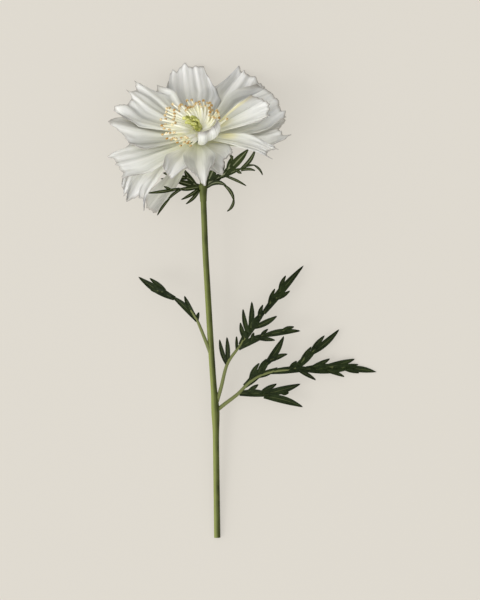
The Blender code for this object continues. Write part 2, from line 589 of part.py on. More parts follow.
def build_stamens(home, finish):
    pieces = [turned("cushion", [
        (0.0, CUSHION_TOP), (CUSHION_RADIUS - 0.5, CUSHION_TOP), (CUSHION_RADIUS, CUSHION_TOP - 0.4),
        (CUSHION_RADIUS, CUSHION_BOTTOM + 0.2), (CUSHION_RADIUS - 0.2, CUSHION_BOTTOM), (0.0, CUSHION_BOTTOM),
    ], BLOOM_CENTRE, FACE, home, finish, 20)]
    for root, anther in stamen_places():
        pieces.append(straight_stalk("filament", root, anther, FILAMENT_RADIUS * 1.2, FILAMENT_RADIUS,
                                     3, home))
        pieces.append(bead("anther", anther, ANTHER_RADIUS, ANTHER_RADIUS * 1.3, anther - root, home))
    joined("stamens", pieces, finish, home, "MANIFOLD")


def build_pistil(home, finish):
    pieces = [turned("ovary", [
        (0.0, OVARY_BOTTOM + OVARY_HEIGHT), (OVARY_RADIUS * 0.7, OVARY_BOTTOM + OVARY_HEIGHT * 0.85),
        (OVARY_RADIUS, OVARY_BOTTOM + OVARY_HEIGHT * 0.45), (OVARY_RADIUS * 0.75, OVARY_BOTTOM),
        (0.0, OVARY_BOTTOM),
    ], BLOOM_CENTRE, FACE, home, finish, 10)]
    for number in range(STYLE_COUNT):
        azimuth = 2.0 * math.pi * number / STYLE_COUNT
        root = in_bloom(OVARY_RADIUS * 0.4, azimuth, OVARY_BOTTOM + OVARY_HEIGHT * 0.6)
        tip = in_bloom(STYLE_SPREAD, azimuth, STYLE_TOP - 0.5 * (number % 3)) + SIDE * STYLE_LEAN
        pieces.append(straight_stalk("style", root, tip, STYLE_RADIUS, STYLE_RADIUS * 0.7, 5, home))
        pieces.append(bead("stigma", tip, STIGMA_RADIUS, STIGMA_RADIUS * 1.2, tip - root, home))
    joined("pistil", pieces, finish, home, "MANIFOLD")


def collar_ring(middle, home, finish):
    """A ring about the neck, whose hole the stem passes with a gap."""
    inner = STEM_RADIUS + GAP + 0.06
    top = COLLAR_HEIGHT * 0.5
    along = (middle - stem_place(COLLAR_DROP + 20.0)).normalized()
    profile = [(inner, top), (COLLAR_RADIUS - 0.3, top), (COLLAR_RADIUS, top - 0.5),
               (COLLAR_RADIUS - 0.2, 0.4 - top), (inner + 0.2, -top), (inner, -top)]
    return turned("collar", profile, middle, along, home, finish, 16)


def build_involucre(stem_room, home, finish):
    middle = stem_place(COLLAR_DROP)
    pieces = [collar_ring(middle, home, finish)]
    for bract in BRACTS:
        slope = bract["slope"]
        turn = Matrix.Rotation(math.radians(bract["turn"]), 3, "Y")
        pieces.append(blade("bract", bract["lobes"], middle,
                            lambda x, y: slope * (math.hypot(x, y) - BRACT_DROOP * (x * x + y * y)),
                            BRACT_KEEL, home, finish, turn))
    cut_clear(joined("involucre", pieces, finish, home, "MANIFOLD"), stem_room)


clear_scene()
flower = new_collection("Nigella flower")
guides = new_collection("Cutters")
stem_green = material("Stem green", STEM_GREEN, 0.5)
leaf_green = material("Leaf green", LEAF_GREEN, 0.5)
petal_white = material("Petal white", PETAL_WHITE, 0.55)
stamen_cream = material("Stamen cream", STAMEN_CREAM, 0.6)
pistil_green = material("Pistil green", PISTIL_GREEN, 0.5)

build_stem(flower, stem_green)
room = build_stem_room(guides)
for leaf_name, leaf_spec in LEAVES.items():
    build_leaf(leaf_name, leaf_spec, room, flower, leaf_green)
build_involucre(room, flower, leaf_green)
for petal_name, petal_spec in PETALS.items():
    build_petal(petal_name, petal_spec, flower, petal_white)
build_stamens(flower, stamen_cream)
build_pistil(flower, pistil_green)
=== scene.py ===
"""The looks of a white nigella flower that was cut and laid on a pale surface, seen from straight above."""

import math

import bmesh
import bpy
from mathutils import Matrix, Vector, geometry, noise


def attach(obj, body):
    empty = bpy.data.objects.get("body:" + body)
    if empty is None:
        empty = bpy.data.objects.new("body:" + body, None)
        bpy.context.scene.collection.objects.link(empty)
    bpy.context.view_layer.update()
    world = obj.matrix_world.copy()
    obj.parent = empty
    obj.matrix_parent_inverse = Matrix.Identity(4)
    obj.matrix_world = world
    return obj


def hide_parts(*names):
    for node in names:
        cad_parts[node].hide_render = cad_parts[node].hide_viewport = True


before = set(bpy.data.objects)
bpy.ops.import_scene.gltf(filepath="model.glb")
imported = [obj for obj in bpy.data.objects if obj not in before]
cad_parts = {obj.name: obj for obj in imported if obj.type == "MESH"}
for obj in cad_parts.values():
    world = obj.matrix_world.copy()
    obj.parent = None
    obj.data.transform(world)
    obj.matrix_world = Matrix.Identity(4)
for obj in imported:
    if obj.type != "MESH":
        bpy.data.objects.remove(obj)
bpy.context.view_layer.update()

# The view and the studio. A long lens looks straight down on the flower, as the photograph was taken
# square on. The floor is a smooth pale card, a broad soft light stands to the left, and the pale
# room around lights the rest.
MM = 0.001
PICTURE_HEIGHT = 600
MM_PER_PIXEL = 0.34
PICTURE_CENTRE = Vector((-0.72, -0.04, 0.0))
LENS = 600.0
SENSOR = 36.0
FOCUS_HEIGHT = 21.6
CAMERA_REACH = 20.0
FLOOR_SIZE = 4.0
CARD_COLOUR = (0.2, 0.19, 0.171)
CARD_GLOW = 2.4
ROOM_COLOUR = (1.0, 0.995, 0.985)
BRIGHT_SIDE = Vector((-0.8, -0.75, 0.55))
BRIGHT_FROM = -0.6
BRIGHT_STRENGTH = 1.7
DIM_STRENGTH = 0.29
KEY_PLACE = Vector((-2.1, -1.2, 2.4))
KEY_SIZE = 1.6
KEY_WATTS = 35.0


def add_object(name, data):
    made = bpy.data.objects.new(name, data)
    bpy.context.scene.collection.objects.link(made)
    return made


camera = add_object("camera", bpy.data.cameras.new("camera"))
camera.data.lens = LENS
camera.data.sensor_width = SENSOR
camera.data.clip_end = CAMERA_REACH
camera_distance = PICTURE_HEIGHT * MM_PER_PIXEL * LENS / SENSOR
camera.location = (PICTURE_CENTRE + Vector((0.0, 0.0, FOCUS_HEIGHT + camera_distance))) * MM
bpy.context.scene.camera = camera
bpy.context.scene.view_settings.view_transform = "Standard"

floor_mesh = bpy.data.meshes.new("floor")
work = bmesh.new()
bmesh.ops.create_grid(work, x_segments=1, y_segments=1, size=FLOOR_SIZE)
work.to_mesh(floor_mesh)
work.free()
floor = add_object("floor", floor_mesh)


def wire(tree, node, wired):
    """Fills a node's sockets with plain values, or links the outputs of other nodes to them."""
    for socket, value in wired.items():
        if isinstance(value, bpy.types.NodeSocket):
            tree.links.new(value, node.inputs[socket])
        elif node.inputs[socket].type == "RGBA":
            node.inputs[socket].default_value = (*value, 1.0)
        else:
            node.inputs[socket].default_value = value


def new_node(tree, kind, wired, **settings):
    """Adds a node to a tree, sets it up, wires it and gives back its outputs."""
    made = tree.nodes.new(kind)
    for setting, value in settings.items():
        setattr(made, setting, value)
    wire(tree, made, wired)
    return made.outputs


card = bpy.data.materials.new("pale card")
card.use_nodes = True
wire(card.node_tree, card.node_tree.nodes["Principled BSDF"], {
    "Base Color": CARD_COLOUR, "Emission Color": CARD_COLOUR, "Emission Strength": CARD_GLOW,
    "Roughness": 0.9, "Specular IOR Level": 0.1})
floor_mesh.materials.append(card)

room = bpy.data.worlds.new("pale room")
room.use_nodes = True
looking = new_node(room.node_tree, "ShaderNodeTexCoord", {})["Generated"]
towards = new_node(room.node_tree, "ShaderNodeVectorMath", {0: looking, 1: BRIGHT_SIDE.normalized()},
                   operation="DOT_PRODUCT")["Value"]
brightness = new_node(room.node_tree, "ShaderNodeMapRange", {
    "Value": towards, "From Min": BRIGHT_FROM, "To Min": DIM_STRENGTH, "To Max": BRIGHT_STRENGTH})["Result"]
wire(room.node_tree, room.node_tree.nodes["Background"], {"Color": ROOM_COLOUR, "Strength": brightness})
bpy.context.scene.world = room

key = add_object("soft key light", bpy.data.lights.new("soft key light", "AREA"))
key.data.shape = "DISK"
key.data.size = KEY_SIZE
key.data.energy = KEY_WATTS
key.location = KEY_PLACE
key.rotation_euler = (-KEY_PLACE).to_track_quat("-Z", "Y").to_euler()


# Petals. Each is one thin satin blade that grows from the side of the receptacle on a narrow claw. It
# fans out in pleats, and its outer edge is torn into pointed teeth that turn up or down. Every blade
# follows the solid of the same name and is thinner than it.
BLOOM_CENTRE = Vector((-15.0, 54.7, 21.6))
BLOOM_TILT = math.radians(41.0)
SIDE = Vector((1.0, 0.0, 0.0))
REAR = Vector((0.0, math.cos(BLOOM_TILT), -math.sin(BLOOM_TILT)))
FACE = Vector((0.0, math.sin(BLOOM_TILT), math.cos(BLOOM_TILT)))
LOWEST_LEVEL = -2.5
LEVEL_STEP = 1.25
CLAW_RADIUS = 2.8
RIM_RADIUS = 31.0
RUFFLE = 2.0
RUFFLE_START = 6.0
RUFFLE_GROWTH = 1.4
RUFFLE_WAVES = ((0.55, 13, 0.6), (0.35, 8, 2.1), (0.25, 19, 1.0))
TIP_NARROWING = 0.15
WIDEST_SHARE = 0.7
SURFACE_SOFTNESS = 1.0
PETAL_THICKNESS = 0.26
PETAL_COLUMNS = 80
PETAL_ROWS = 44
PLEAT_DRIFT = 0.1
PLEAT_DRIFT_WAVES = 2.6
NARROW_PLEAT = 0.45
NARROW_PLEATS = 2.3
PLEAT_GROWTH = 14.0
CRUMPLE = 0.5
TOOTH_SHARPNESS = 1.7
TEAR = 0.015
TEAR_WAVES = 7.0
RIM_START = 0.72
LIP = 0.8
LIP_WAVES = 5.5
RIM_WIDTH = 1.25
ROLL_START = 0.68
CUP_ANGLE = math.radians(130.0)
SHADE_SOFTNESS = 0.1

# Each petal's own shape, in millimetres and degrees: the way it points, its level in the bloom, how far
# it leans up, reaches and bends aside, half its width, and the widest half angle that it fans out to.
# Pleats is how many it has and folds is how high they are. Lip is how high its rim waves, and cup and
# roll are how high its end or one edge curls up. Crown is its torn edge as shares of the reach,
# anticlockwise. Across the blade, from -1 to 1 clockwise, shades are strips of painted shade (start,
# end, depth) and creases are ridges (place, rise, width). Last come its tints: how much painted shade
# darkens the whole petal, how cool it is and how much it blushes.
PETALS = {
    "petal_rear": dict(
        azimuth=97, level=2, lean=0, reach=35.0, half_width=11.0, bend=0, fan=30, pleats=4.5,
        painted_petal_shade=0.04, cool=0.8, folds=0.55,
        shades=((-0.95, -0.45, 0.8), (0.12, 0.3, 0.5), (0.6, 0.75, 0.4)),
        crown=(0.69, 0.71, 0.79, 0.94, 0.925, 0.916, 0.93, 0.95, 1.0, 1.0, 0.985, 0.96,
               0.99, 0.94, 0.82, 0.73, 0.69)),
    "petal_rear_left": dict(
        azimuth=143, level=4, lean=2, reach=31.4, half_width=10.6, bend=0, fan=30, pleats=3.5,
        painted_petal_shade=0.3, cool=0.2, folds=0.5,
        shades=((0.1, 0.34, 0.7), (-0.5, -0.38, 0.6), (0.7, 0.8, 0.5)),
        crown=(0.82, 0.79, 0.8, 0.95, 0.99, 0.94, 0.9, 0.93, 0.98, 0.88, 0.867, 0.878,
               0.9, 0.95, 0.99, 1.0, 0.86)),
    "petal_left": dict(
        azimuth=171, level=3, lean=0, reach=31.2, half_width=10.4, bend=0, fan=28, pleats=2.5,
        painted_petal_shade=0.55, cool=0.6, folds=0.35, lip=0.4,
        shades=((-1.1, -0.6, 0.8), (0.1, 0.25, 0.5), (0.6, 0.72, 0.4)),
        crown=(0.82, 0.85, 0.88, 0.91, 0.95, 0.97, 0.98, 0.995, 1.0, 0.975, 0.88, 0.82,
               0.795, 0.76, 0.73, 0.69, 0.66)),
    "petal_left_front": dict(
        azimuth=198, level=2, lean=-4, reach=31.8, half_width=9.4, bend=0, fan=25, pleats=2.5,
        painted_petal_shade=0.28, cool=0.25, folds=0.5, lip=1.0,
        shades=((0.55, 1.1, 0.5), (-0.2, -0.1, 0.4)),
        crown=(0.72, 0.74, 0.78, 0.88, 0.95, 1.0, 0.96, 0.92, 0.9, 0.95, 0.92, 0.915,
               0.905, 0.9, 0.94, 0.9, 0.84)),
    "petal_front_left_long": dict(
        azimuth=196.5, level=1, lean=-11, reach=33.6, half_width=8.0, bend=26, fan=22, pleats=3.0,
        painted_petal_shade=0.0, cool=0.5, folds=0.5, lip=1.5,
        shades=((-0.55, -0.4, 0.5), (0.3, 0.42, 0.35)),
        crown=(0.89, 0.9, 0.9, 0.91, 0.93, 0.95, 0.93, 0.95, 0.98, 1.0, 0.92, 0.89,
               0.915, 0.88, 0.89, 0.92, 0.95)),
    "petal_bent_back": dict(
        azimuth=220, level=0, lean=-52, reach=20.0, half_width=6.8, bend=-8, fan=16, pleats=2.0,
        painted_petal_shade=1.0, cool=0.6, folds=0.25, lip=0.2,
        crown=(0.9, 0.94, 0.96, 0.97, 0.98, 0.99, 1.0, 1.0, 0.99, 0.985, 0.98, 0.975,
               0.97, 0.96, 0.94, 0.87, 0.78)),
    "petal_front_left": dict(
        azimuth=250, level=2, lean=15, reach=25.6, half_width=6.8, bend=0, fan=26, pleats=1.5,
        painted_petal_shade=0.12, cool=1.0, folds=0.3,
        shades=((0.3, 1.1, 0.5), (-0.6, -0.3, 0.5)),
        crown=(0.78, 0.8, 0.82, 0.85, 0.88, 0.91, 0.95, 0.98, 1.02, 0.86, 0.74, 0.69,
               0.67, 0.66, 0.65, 0.64, 0.6)),
    "petal_front": dict(
        azimuth=271, level=3, lean=18, reach=28.6, half_width=5.6, bend=3, fan=28, pleats=1.0,
        painted_petal_shade=0.3, cool=0.35, folds=0.2, creases=((0.12, -1.3, 0.5),),
        shades=((0.14, 1.1, 1.2), (-1.1, -0.18, 0.9)),
        crown=(0.7, 0.73, 0.76, 0.785, 0.79, 0.83, 0.91, 0.97, 1.02, 1.03, 0.94, 0.86,
               0.77, 0.7, 0.67, 0.65, 0.62)),
    "petal_front_right": dict(
        azimuth=303, level=1, lean=14, reach=19.4, half_width=8.4, bend=0, fan=42, pleats=1.5,
        painted_petal_shade=0.35, cool=1.0, folds=0.4,
        shades=((-0.3, 0.1, 0.4), (0.45, 1.1, 0.7)),
        crown=(0.84, 0.85, 0.87, 0.93, 0.97, 1.0, 0.97, 0.88, 0.84, 0.76, 0.74, 0.745,
               0.72, 0.71, 0.72, 0.71, 0.66)),
    "petal_right_front": dict(
        azimuth=353, level=3, lean=4, reach=29.4, half_width=3.6, bend=-12, fan=13, pleats=1.5,
        painted_petal_shade=0.12, cool=0.15, folds=0.3,
        shades=((0.5, 1.1, 0.9), (-0.4, -0.2, 0.4)), blush=0.9,
        crown=(0.96, 0.9, 0.87, 0.865, 0.86, 0.858, 0.855, 0.86, 0.87, 0.88, 0.9, 0.93,
               0.96, 0.95, 0.92, 0.9, 0.88)),
    "petal_right": dict(
        azimuth=12, level=1, lean=0, reach=33.0, half_width=10.0, bend=0, fan=23, pleats=3.0,
        painted_petal_shade=0.36, cool=0.35, folds=0.55, lip=1.5,
        shades=((-0.5, -0.2, 0.8), (0.2, 0.35, 0.7), (0.62, 0.8, 0.6)),
        crown=(0.76, 0.78, 0.9, 0.97, 0.9, 0.87, 0.86, 0.85, 0.84, 0.86, 0.9, 0.94,
               0.955, 0.95, 0.955, 0.98, 0.94)),
    "petal_rear_right": dict(
        azimuth=34, level=2, lean=3, reach=32.2, half_width=10.4, bend=0, fan=29, pleats=3.5,
        painted_petal_shade=0.18, cool=0.3, folds=0.5, lip=1.5,
        shades=((-0.75, -0.45, 0.7), (-0.35, -0.22, 0.8), (-0.1, 0.04, 0.6), (0.45, 0.6, 0.6)),
        crown=(0.97, 0.98, 1.0, 0.96, 0.955, 0.97, 0.99, 0.975, 0.966, 0.965, 0.985,
               0.965, 0.97, 0.985, 1.0, 1.0, 0.97)),
    "petal_rear_right_long": dict(
        azimuth=62, level=1, lean=1, reach=37.0, half_width=10.2, bend=0, fan=26, pleats=4.0,
        painted_petal_shade=0.08, cool=0.8, folds=0.45, creases=((-0.42, 0.9, 0.2),),
        shades=((-0.8, -0.3, 0.9), (0.02, 0.28, 0.8), (0.6, 0.7, 0.4)),
        crown=(0.91, 0.92, 0.925, 0.92, 0.93, 0.925, 0.915, 0.92, 0.94, 0.96, 0.98,
               1.0, 1.02, 0.88, 0.72, 0.65, 0.61)),
    "petal_under_rear": dict(
        azimuth=118, level=0, lean=0, reach=28.5, half_width=10.0, bend=0, fan=34, pleats=3.0,
        painted_petal_shade=0.27, cool=0.6, folds=0.4,
        crown=(0.8, 0.86, 0.92, 0.93, 0.96, 0.92, 0.92, 0.96, 1.0, 0.97, 0.93, 0.95,
               0.98, 0.93, 0.9, 0.86, 0.8)),
    "petal_inner_right": dict(
        azimuth=19, level=3, lean=15, reach=26.5, half_width=6.8, bend=0, fan=12.5, pleats=1.5,
        painted_petal_shade=0.0, cool=0.0, folds=0.15, roll=3.6,
        shades=((-0.3, -0.2, 0.4),), blush=0.6,
        crown=(0.82, 0.86, 0.9, 0.93, 0.95, 0.93, 0.94, 0.96, 0.98, 0.97, 1.0, 0.98,
               0.97, 0.95, 0.94, 0.88, 0.8)),
    "petal_inner_front": dict(
        azimuth=316, level=4, lean=0, reach=7.8, half_width=5.9, bend=0, fan=46, pleats=0.5,
        painted_petal_shade=0.08, cool=0.4, folds=0.3, cup=8.6, lip=0.2,
        crown=(0.86, 0.94, 0.98, 0.99, 0.95, 0.88, 0.82, 0.88, 0.95, 0.99, 1.0, 1.0,
               1.0, 1.0, 0.98, 0.94, 0.86)),
}


def smooth_step(value):
    value = min(max(value, 0.0), 1.0)
    return value * value * (3.0 - 2.0 * value)


def in_bloom(radius, azimuth, height):
    """A point by its distance from the bloom's axis, its azimuth in radians and its height."""
    flat = SIDE * math.cos(azimuth) + REAR * math.sin(azimuth)
    return BLOOM_CENTRE + flat * radius + FACE * height


def on_surface(point, half_thickness):
    """Bends what would dip below the surface flat onto it, over the last millimetre."""
    depth = point.z - half_thickness
    if depth <= -SURFACE_SOFTNESS:
        return Vector((point.x, point.y, half_thickness))
    if depth < SURFACE_SOFTNESS:
        lift = (depth + SURFACE_SOFTNESS) ** 2 / (4.0 * SURFACE_SOFTNESS)
        return Vector((point.x, point.y, half_thickness + lift))
    return point


def ruffle(azimuth, radius):
    """The waves that all petals share, so that one level lies in the folds of the next."""
    if radius <= RUFFLE_START:
        return 0.0
    growth = ((radius - RUFFLE_START) / (RIM_RADIUS - RUFFLE_START)) ** RUFFLE_GROWTH
    waves = sum(share * math.sin(count * azimuth + phase) for share, count, phase in RUFFLE_WAVES)
    return RUFFLE * growth * waves


def tooth_share(crown, across):
    """The reach of the torn edge: it swings in a slow arc out of each notch and ends in a sharp tooth."""
    place = (1.0 - across) * 0.5 * (len(crown) - 1)
    index = min(int(place), len(crown) - 2)
    start, end = crown[index], crown[index + 1]
    t = place - index
    if start > end:
        return end + (start - end) * (1.0 - t) ** TOOTH_SHARPNESS
    return start + (end - start) * t ** TOOTH_SHARPNESS


def pleat(spec, seed, along, across):
    """The petal's pleats, from -1 in a valley to 1 on a ridge."""
    drift = across + PLEAT_DRIFT * math.sin(PLEAT_DRIFT_WAVES * along + seed)
    broad = math.cos(spec["pleats"] * math.pi * drift + seed)
    narrow = math.cos(NARROW_PLEATS * spec["pleats"] * math.pi * drift + 1.7 * seed)
    return (broad + NARROW_PLEAT * narrow) / (1.0 + NARROW_PLEAT)


def petal_surface(spec, seed, along, across):
    """A point of the blade's middle surface: along 0 to 1 from the claw, across -1 to 1."""
    tear = TEAR * noise.noise(Vector((across * TEAR_WAVES, seed * 9.0, 0.5)))
    share = tooth_share(spec["crown"], across) * (1.0 + tear)
    curl = along * CUP_ANGLE
    out = math.sin(curl) if "cup" in spec else along
    radius = CLAW_RADIUS + (spec["reach"] * share - CLAW_RADIUS) * out
    narrowing = 1.0 - TIP_NARROWING * smooth_step((along - WIDEST_SHARE) / (1.0 - WIDEST_SHARE))
    half_angle = min(spec["half_width"] * narrowing / radius, math.radians(spec["fan"]))
    azimuth = math.radians(spec["azimuth"] + spec["bend"] * along * along) - across * half_angle
    lift = (radius - CLAW_RADIUS) * math.tan(math.radians(spec["lean"]))
    lift += spec.get("cup", 0.0) * share * (1.0 - math.cos(curl)) / (1.0 - math.cos(CUP_ANGLE))
    growth = smooth_step((radius - CLAW_RADIUS) / min(PLEAT_GROWTH, spec["reach"] * 0.6))
    crumple = noise.noise(Vector((across * 3.0 + seed * 7.0, along * 4.0, seed))) * CRUMPLE * along
    height = LOWEST_LEVEL + LEVEL_STEP * spec["level"] + lift + ruffle(azimuth, radius) + crumple
    height += spec["folds"] * growth * pleat(spec, seed, along, across)
    for place, rise, width in spec.get("creases", ()):
        height += rise * growth * max(0.0, 1.0 - abs(across - place) / width)
    rim = smooth_step((along - RIM_START) / (1.0 - RIM_START))
    height += spec.get("lip", LIP) * rim * noise.noise(Vector((across * LIP_WAVES, seed * 3.0, 1.0)))
    height += spec.get("roll", 0.0) * growth * max(0.0, (-across - ROLL_START) / (1.0 - ROLL_START)) ** 2
    return in_bloom(radius, azimuth, height)


def settle(piece, turn):
    """Makes what a piece's modifiers give its own plain mesh, turned or scaled into place and smooth."""
    bpy.context.view_layer.update()
    graph = bpy.context.evaluated_depsgraph_get()
    settled = bpy.data.meshes.new_from_object(piece.evaluated_get(graph))
    piece.modifiers.clear()
    settled.transform(turn)
    settled.shade_smooth()
    piece.data = settled


def closed_blade(name, mesh, thickness):
    """A sheet in millimetres turned into a thin closed blade in metres."""
    blade = add_object(name, mesh)
    wall = blade.modifiers.new("thickness", "SOLIDIFY")
    wall.thickness = thickness
    wall.offset = 0.0
    settle(blade, Matrix.Scale(MM, 4))
    return blade


# The petals' satin: white, cream green towards the claw and cooler where a petal's attributes say so.
# Painted shade darkens its pleat valleys, its shaded strips and whole petals that lie in shade. It has fine
# veins and a thin dusky rim.
CLAW_TO_TIP = ((0.0, (0.84, 0.85, 0.5)), (0.16, (0.93, 0.93, 0.68)), (0.42, (0.94, 0.94, 0.79)),
               (0.75, (0.95, 0.95, 0.87)), (1.0, (0.95, 0.945, 0.895)))
COOL_TINT = (0.95, 0.954, 0.985)
# Painted shade for whole petals that lie in shade.
PAINTED_PETAL_SHADE_TINT = (0.42, 0.42, 0.405)
# Painted shade for the pleat valleys, the shaded strips and the inner wall of a rolled edge.
PAINTED_SHADE_TINT = (0.62, 0.625, 0.64)
FRESH_COLOUR = (0.86, 0.78, 0.4)
VEIN_TINT = (0.9, 0.905, 0.9)
CLOUD_TINT = (0.9, 0.9, 0.92)
RIM_COLOUR = (0.27, 0.255, 0.235)
VEIN_SCALES = (30.0, 1.4, 1.0)
VEIN_DEPTH = 0.00015
CLOUD_SCALE = 90.0
SOAK_DEPTH = 0.0015
RIM_DEPTH = 0.95
SIDE_RIM = 0.8
CLAW_CLEARANCE = 3.0
# Painted shade in the pleat valleys and the shaded strips, and on a rolled edge's inner wall (ROLL_SHADE):
VALLEY_START = 0.15
VALLEY_REACH = 0.7
VALLEY_SHADE_GROWTH = 2.5
PATCH_WAVES = (2.2, 1.6, 2.0)
SHADE_WANDER = 0.12
SHADE_FROM = 0.4
SHADE_GROWTH = 3.0
BLUSH_PLACE = 0.3
BLUSH_REACH = 0.2
BLUSH_EDGE = 0.2
BLUSH_FADE = 0.5
ROLL_SHADE = (-0.97, -0.6)
ROLL_FADES = (0.05, 0.15)
ROLL_FRESH = (-0.93, 0.04, 0.8)


def soft_material(name, roughness, specular, soft, soak_colour):
    """A soft matt material into which light soaks a little way, with its tree and its shader."""
    made = bpy.data.materials.new(name)
    made.use_nodes = True
    shader = made.node_tree.nodes["Principled BSDF"]
    wire(made.node_tree, shader, {
        "Roughness": roughness, "Specular IOR Level": specular, "Subsurface Weight": soft,
        "Subsurface Radius": soak_colour, "Subsurface Scale": SOAK_DEPTH})
    return made, made.node_tree, shader


def petal_finish():
    """The satin, in which the tints lie over one another from the claw's colour up to the rim."""
    made, tree, shader = soft_material("petal satin", roughness=0.5, specular=0.3, soft=0.6,
                                       soak_colour=(1.0, 0.97, 0.88))
    blade_place = new_node(tree, "ShaderNodeUVMap", {}, uv_map="blade")["UV"]

    def tinted(kind, share, colour, tint):
        return new_node(tree, "ShaderNodeMix", {"Factor": share, "A": colour, "B": tint},
                        data_type="RGBA", blend_type=kind)["Result"]

    def own(attribute):
        return new_node(tree, "ShaderNodeAttribute", {}, attribute_name=attribute)["Fac"]

    def between(value, low, high):
        return new_node(tree, "ShaderNodeMapRange", {
            "Value": value, "From Min": low, "From Max": high})["Result"]

    along = new_node(tree, "ShaderNodeSeparateXYZ", {0: blade_place})["Y"]
    ramp = new_node(tree, "ShaderNodeValToRGB", {"Fac": along})["Color"]
    stops = ramp.node.color_ramp.elements
    for position, _ in CLAW_TO_TIP[1:-1]:
        stops.new(position)
    for stop, (_, colour) in zip(stops, CLAW_TO_TIP):
        stop.color = (*colour, 1.0)
    colour = tinted("MULTIPLY", own("cool"), ramp, COOL_TINT)
    # Painted shade over whole petals that lie in shade.
    colour = tinted("MULTIPLY", own("painted_petal_shade"), colour, PAINTED_PETAL_SHADE_TINT)
    # Painted shade in the pleat valleys, the shaded strips and on rolled edges.
    colour = tinted("MULTIPLY", own("painted_shade"), colour, PAINTED_SHADE_TINT)
    colour = tinted("MIX", own("fresh"), colour, FRESH_COLOUR)
    stretched = new_node(tree, "ShaderNodeMapping", {"Vector": blade_place, "Scale": VEIN_SCALES})["Vector"]
    veins = new_node(tree, "ShaderNodeTexNoise", {"Vector": stretched, "Scale": 1.0, "Detail": 3.0})["Fac"]
    colour = tinted("MULTIPLY", between(veins, 0.5, 0.68), colour, VEIN_TINT)
    place = new_node(tree, "ShaderNodeTexCoord", {})["Object"]
    cloud = new_node(tree, "ShaderNodeTexNoise", {"Vector": place, "Scale": CLOUD_SCALE})["Fac"]
    colour = tinted("MULTIPLY", between(cloud, 0.42, 0.72), colour, CLOUD_TINT)
    relief = new_node(tree, "ShaderNodeBump", {
        "Height": veins, "Distance": VEIN_DEPTH, "Strength": 0.5})["Normal"]
    wire(tree, shader, {
        "Base Color": tinted("MIX", own("rim"), colour, RIM_COLOUR), "Normal": relief, "Sheen Weight": 0.1})
    return made


def petal_marks(spec, seed, along, across):
    """How near the rim a point is, how much painted shade it gets in pleat valleys and shaded strips,
    how cool, how much painted shade its whole petal gets and how fresh in colour.
    """
    from_tip = (1.0 - along) * spec["reach"]
    from_side = (1.0 - abs(across)) * spec["half_width"]
    inwards = min(from_tip, from_side * SIDE_RIM + CLAW_CLEARANCE * (1.0 - along))
    valley = 0.5 - 0.5 * pleat(spec, seed, along, across)
    patch = 0.5 + 0.5 * noise.noise(Vector(
        (across * PATCH_WAVES[0] + seed, along * PATCH_WAVES[1], seed * PATCH_WAVES[2])))
    # Painted shade: deepest in the pleat valleys, added in the shaded strips and on a rolled edge's inner
    # wall.
    painted_shade = smooth_step((valley - VALLEY_START) / VALLEY_REACH) * patch * smooth_step(along * VALLEY_SHADE_GROWTH)
    wander = across + SHADE_WANDER * noise.noise(Vector((along * 3.0, seed * 5.0, across)))
    for start, end, depth in spec.get("shades", ()):
        inside = smooth_step((wander - start) / SHADE_SOFTNESS)
        inside *= smooth_step((end - wander) / SHADE_SOFTNESS)
        painted_shade += depth * inside * smooth_step((along - SHADE_FROM) * SHADE_GROWTH)
    fresh = spec.get("blush", 0.0) * smooth_step(1.0 - abs(along - BLUSH_PLACE) / BLUSH_REACH)
    fresh *= smooth_step((BLUSH_EDGE - across) / BLUSH_FADE)
    if "roll" in spec:
        outer, inner = ROLL_SHADE
        outer_fade, inner_fade = ROLL_FADES
        edge, edge_fade, depth = ROLL_FRESH
        painted_shade += smooth_step((inner - across) / inner_fade) * smooth_step((across - outer) / outer_fade)
        fresh += depth * smooth_step((edge - across) / edge_fade)
    rim = RIM_DEPTH * (1.0 - smooth_step(inwards / RIM_WIDTH))
    return {"rim": rim, "painted_shade": painted_shade, "cool": spec["cool"], "painted_petal_shade": spec["painted_petal_shade"], "fresh": fresh}


petal_satin = petal_finish()
for seed, (petal_name, petal_spec) in enumerate(PETALS.items()):
    grid = bmesh.new()
    blade_layer = grid.loops.layers.uv.new("blade")
    mark_layers = {mark: grid.verts.layers.float.new(mark)
                   for mark in ("rim", "painted_shade", "cool", "painted_petal_shade", "fresh")}
    bmesh.ops.create_grid(grid, x_segments=PETAL_COLUMNS, y_segments=PETAL_ROWS, size=1.0)
    for face in grid.faces:
        for loop in face.loops:
            loop[blade_layer].uv = (loop.vert.co.x * 0.5 + 0.5, (loop.vert.co.y + 1.0) * 0.5)
    for vert in grid.verts:
        across, along = vert.co.x, (vert.co.y + 1.0) * 0.5
        vert.co = on_surface(petal_surface(petal_spec, seed, along, across), PETAL_THICKNESS * 0.5)
        for mark, value in petal_marks(petal_spec, seed, along, across).items():
            vert[mark_layers[mark]] = value
    bmesh.ops.recalc_face_normals(grid, faces=grid.faces)
    petal_mesh = bpy.data.meshes.new(petal_name)
    grid.to_mesh(petal_mesh)
    grid.free()
    petal_mesh.materials.append(petal_satin)
    petal = closed_blade("bloom_" + petal_name, petal_mesh, PETAL_THICKNESS)
    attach(petal, "root")
    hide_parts(petal_name)


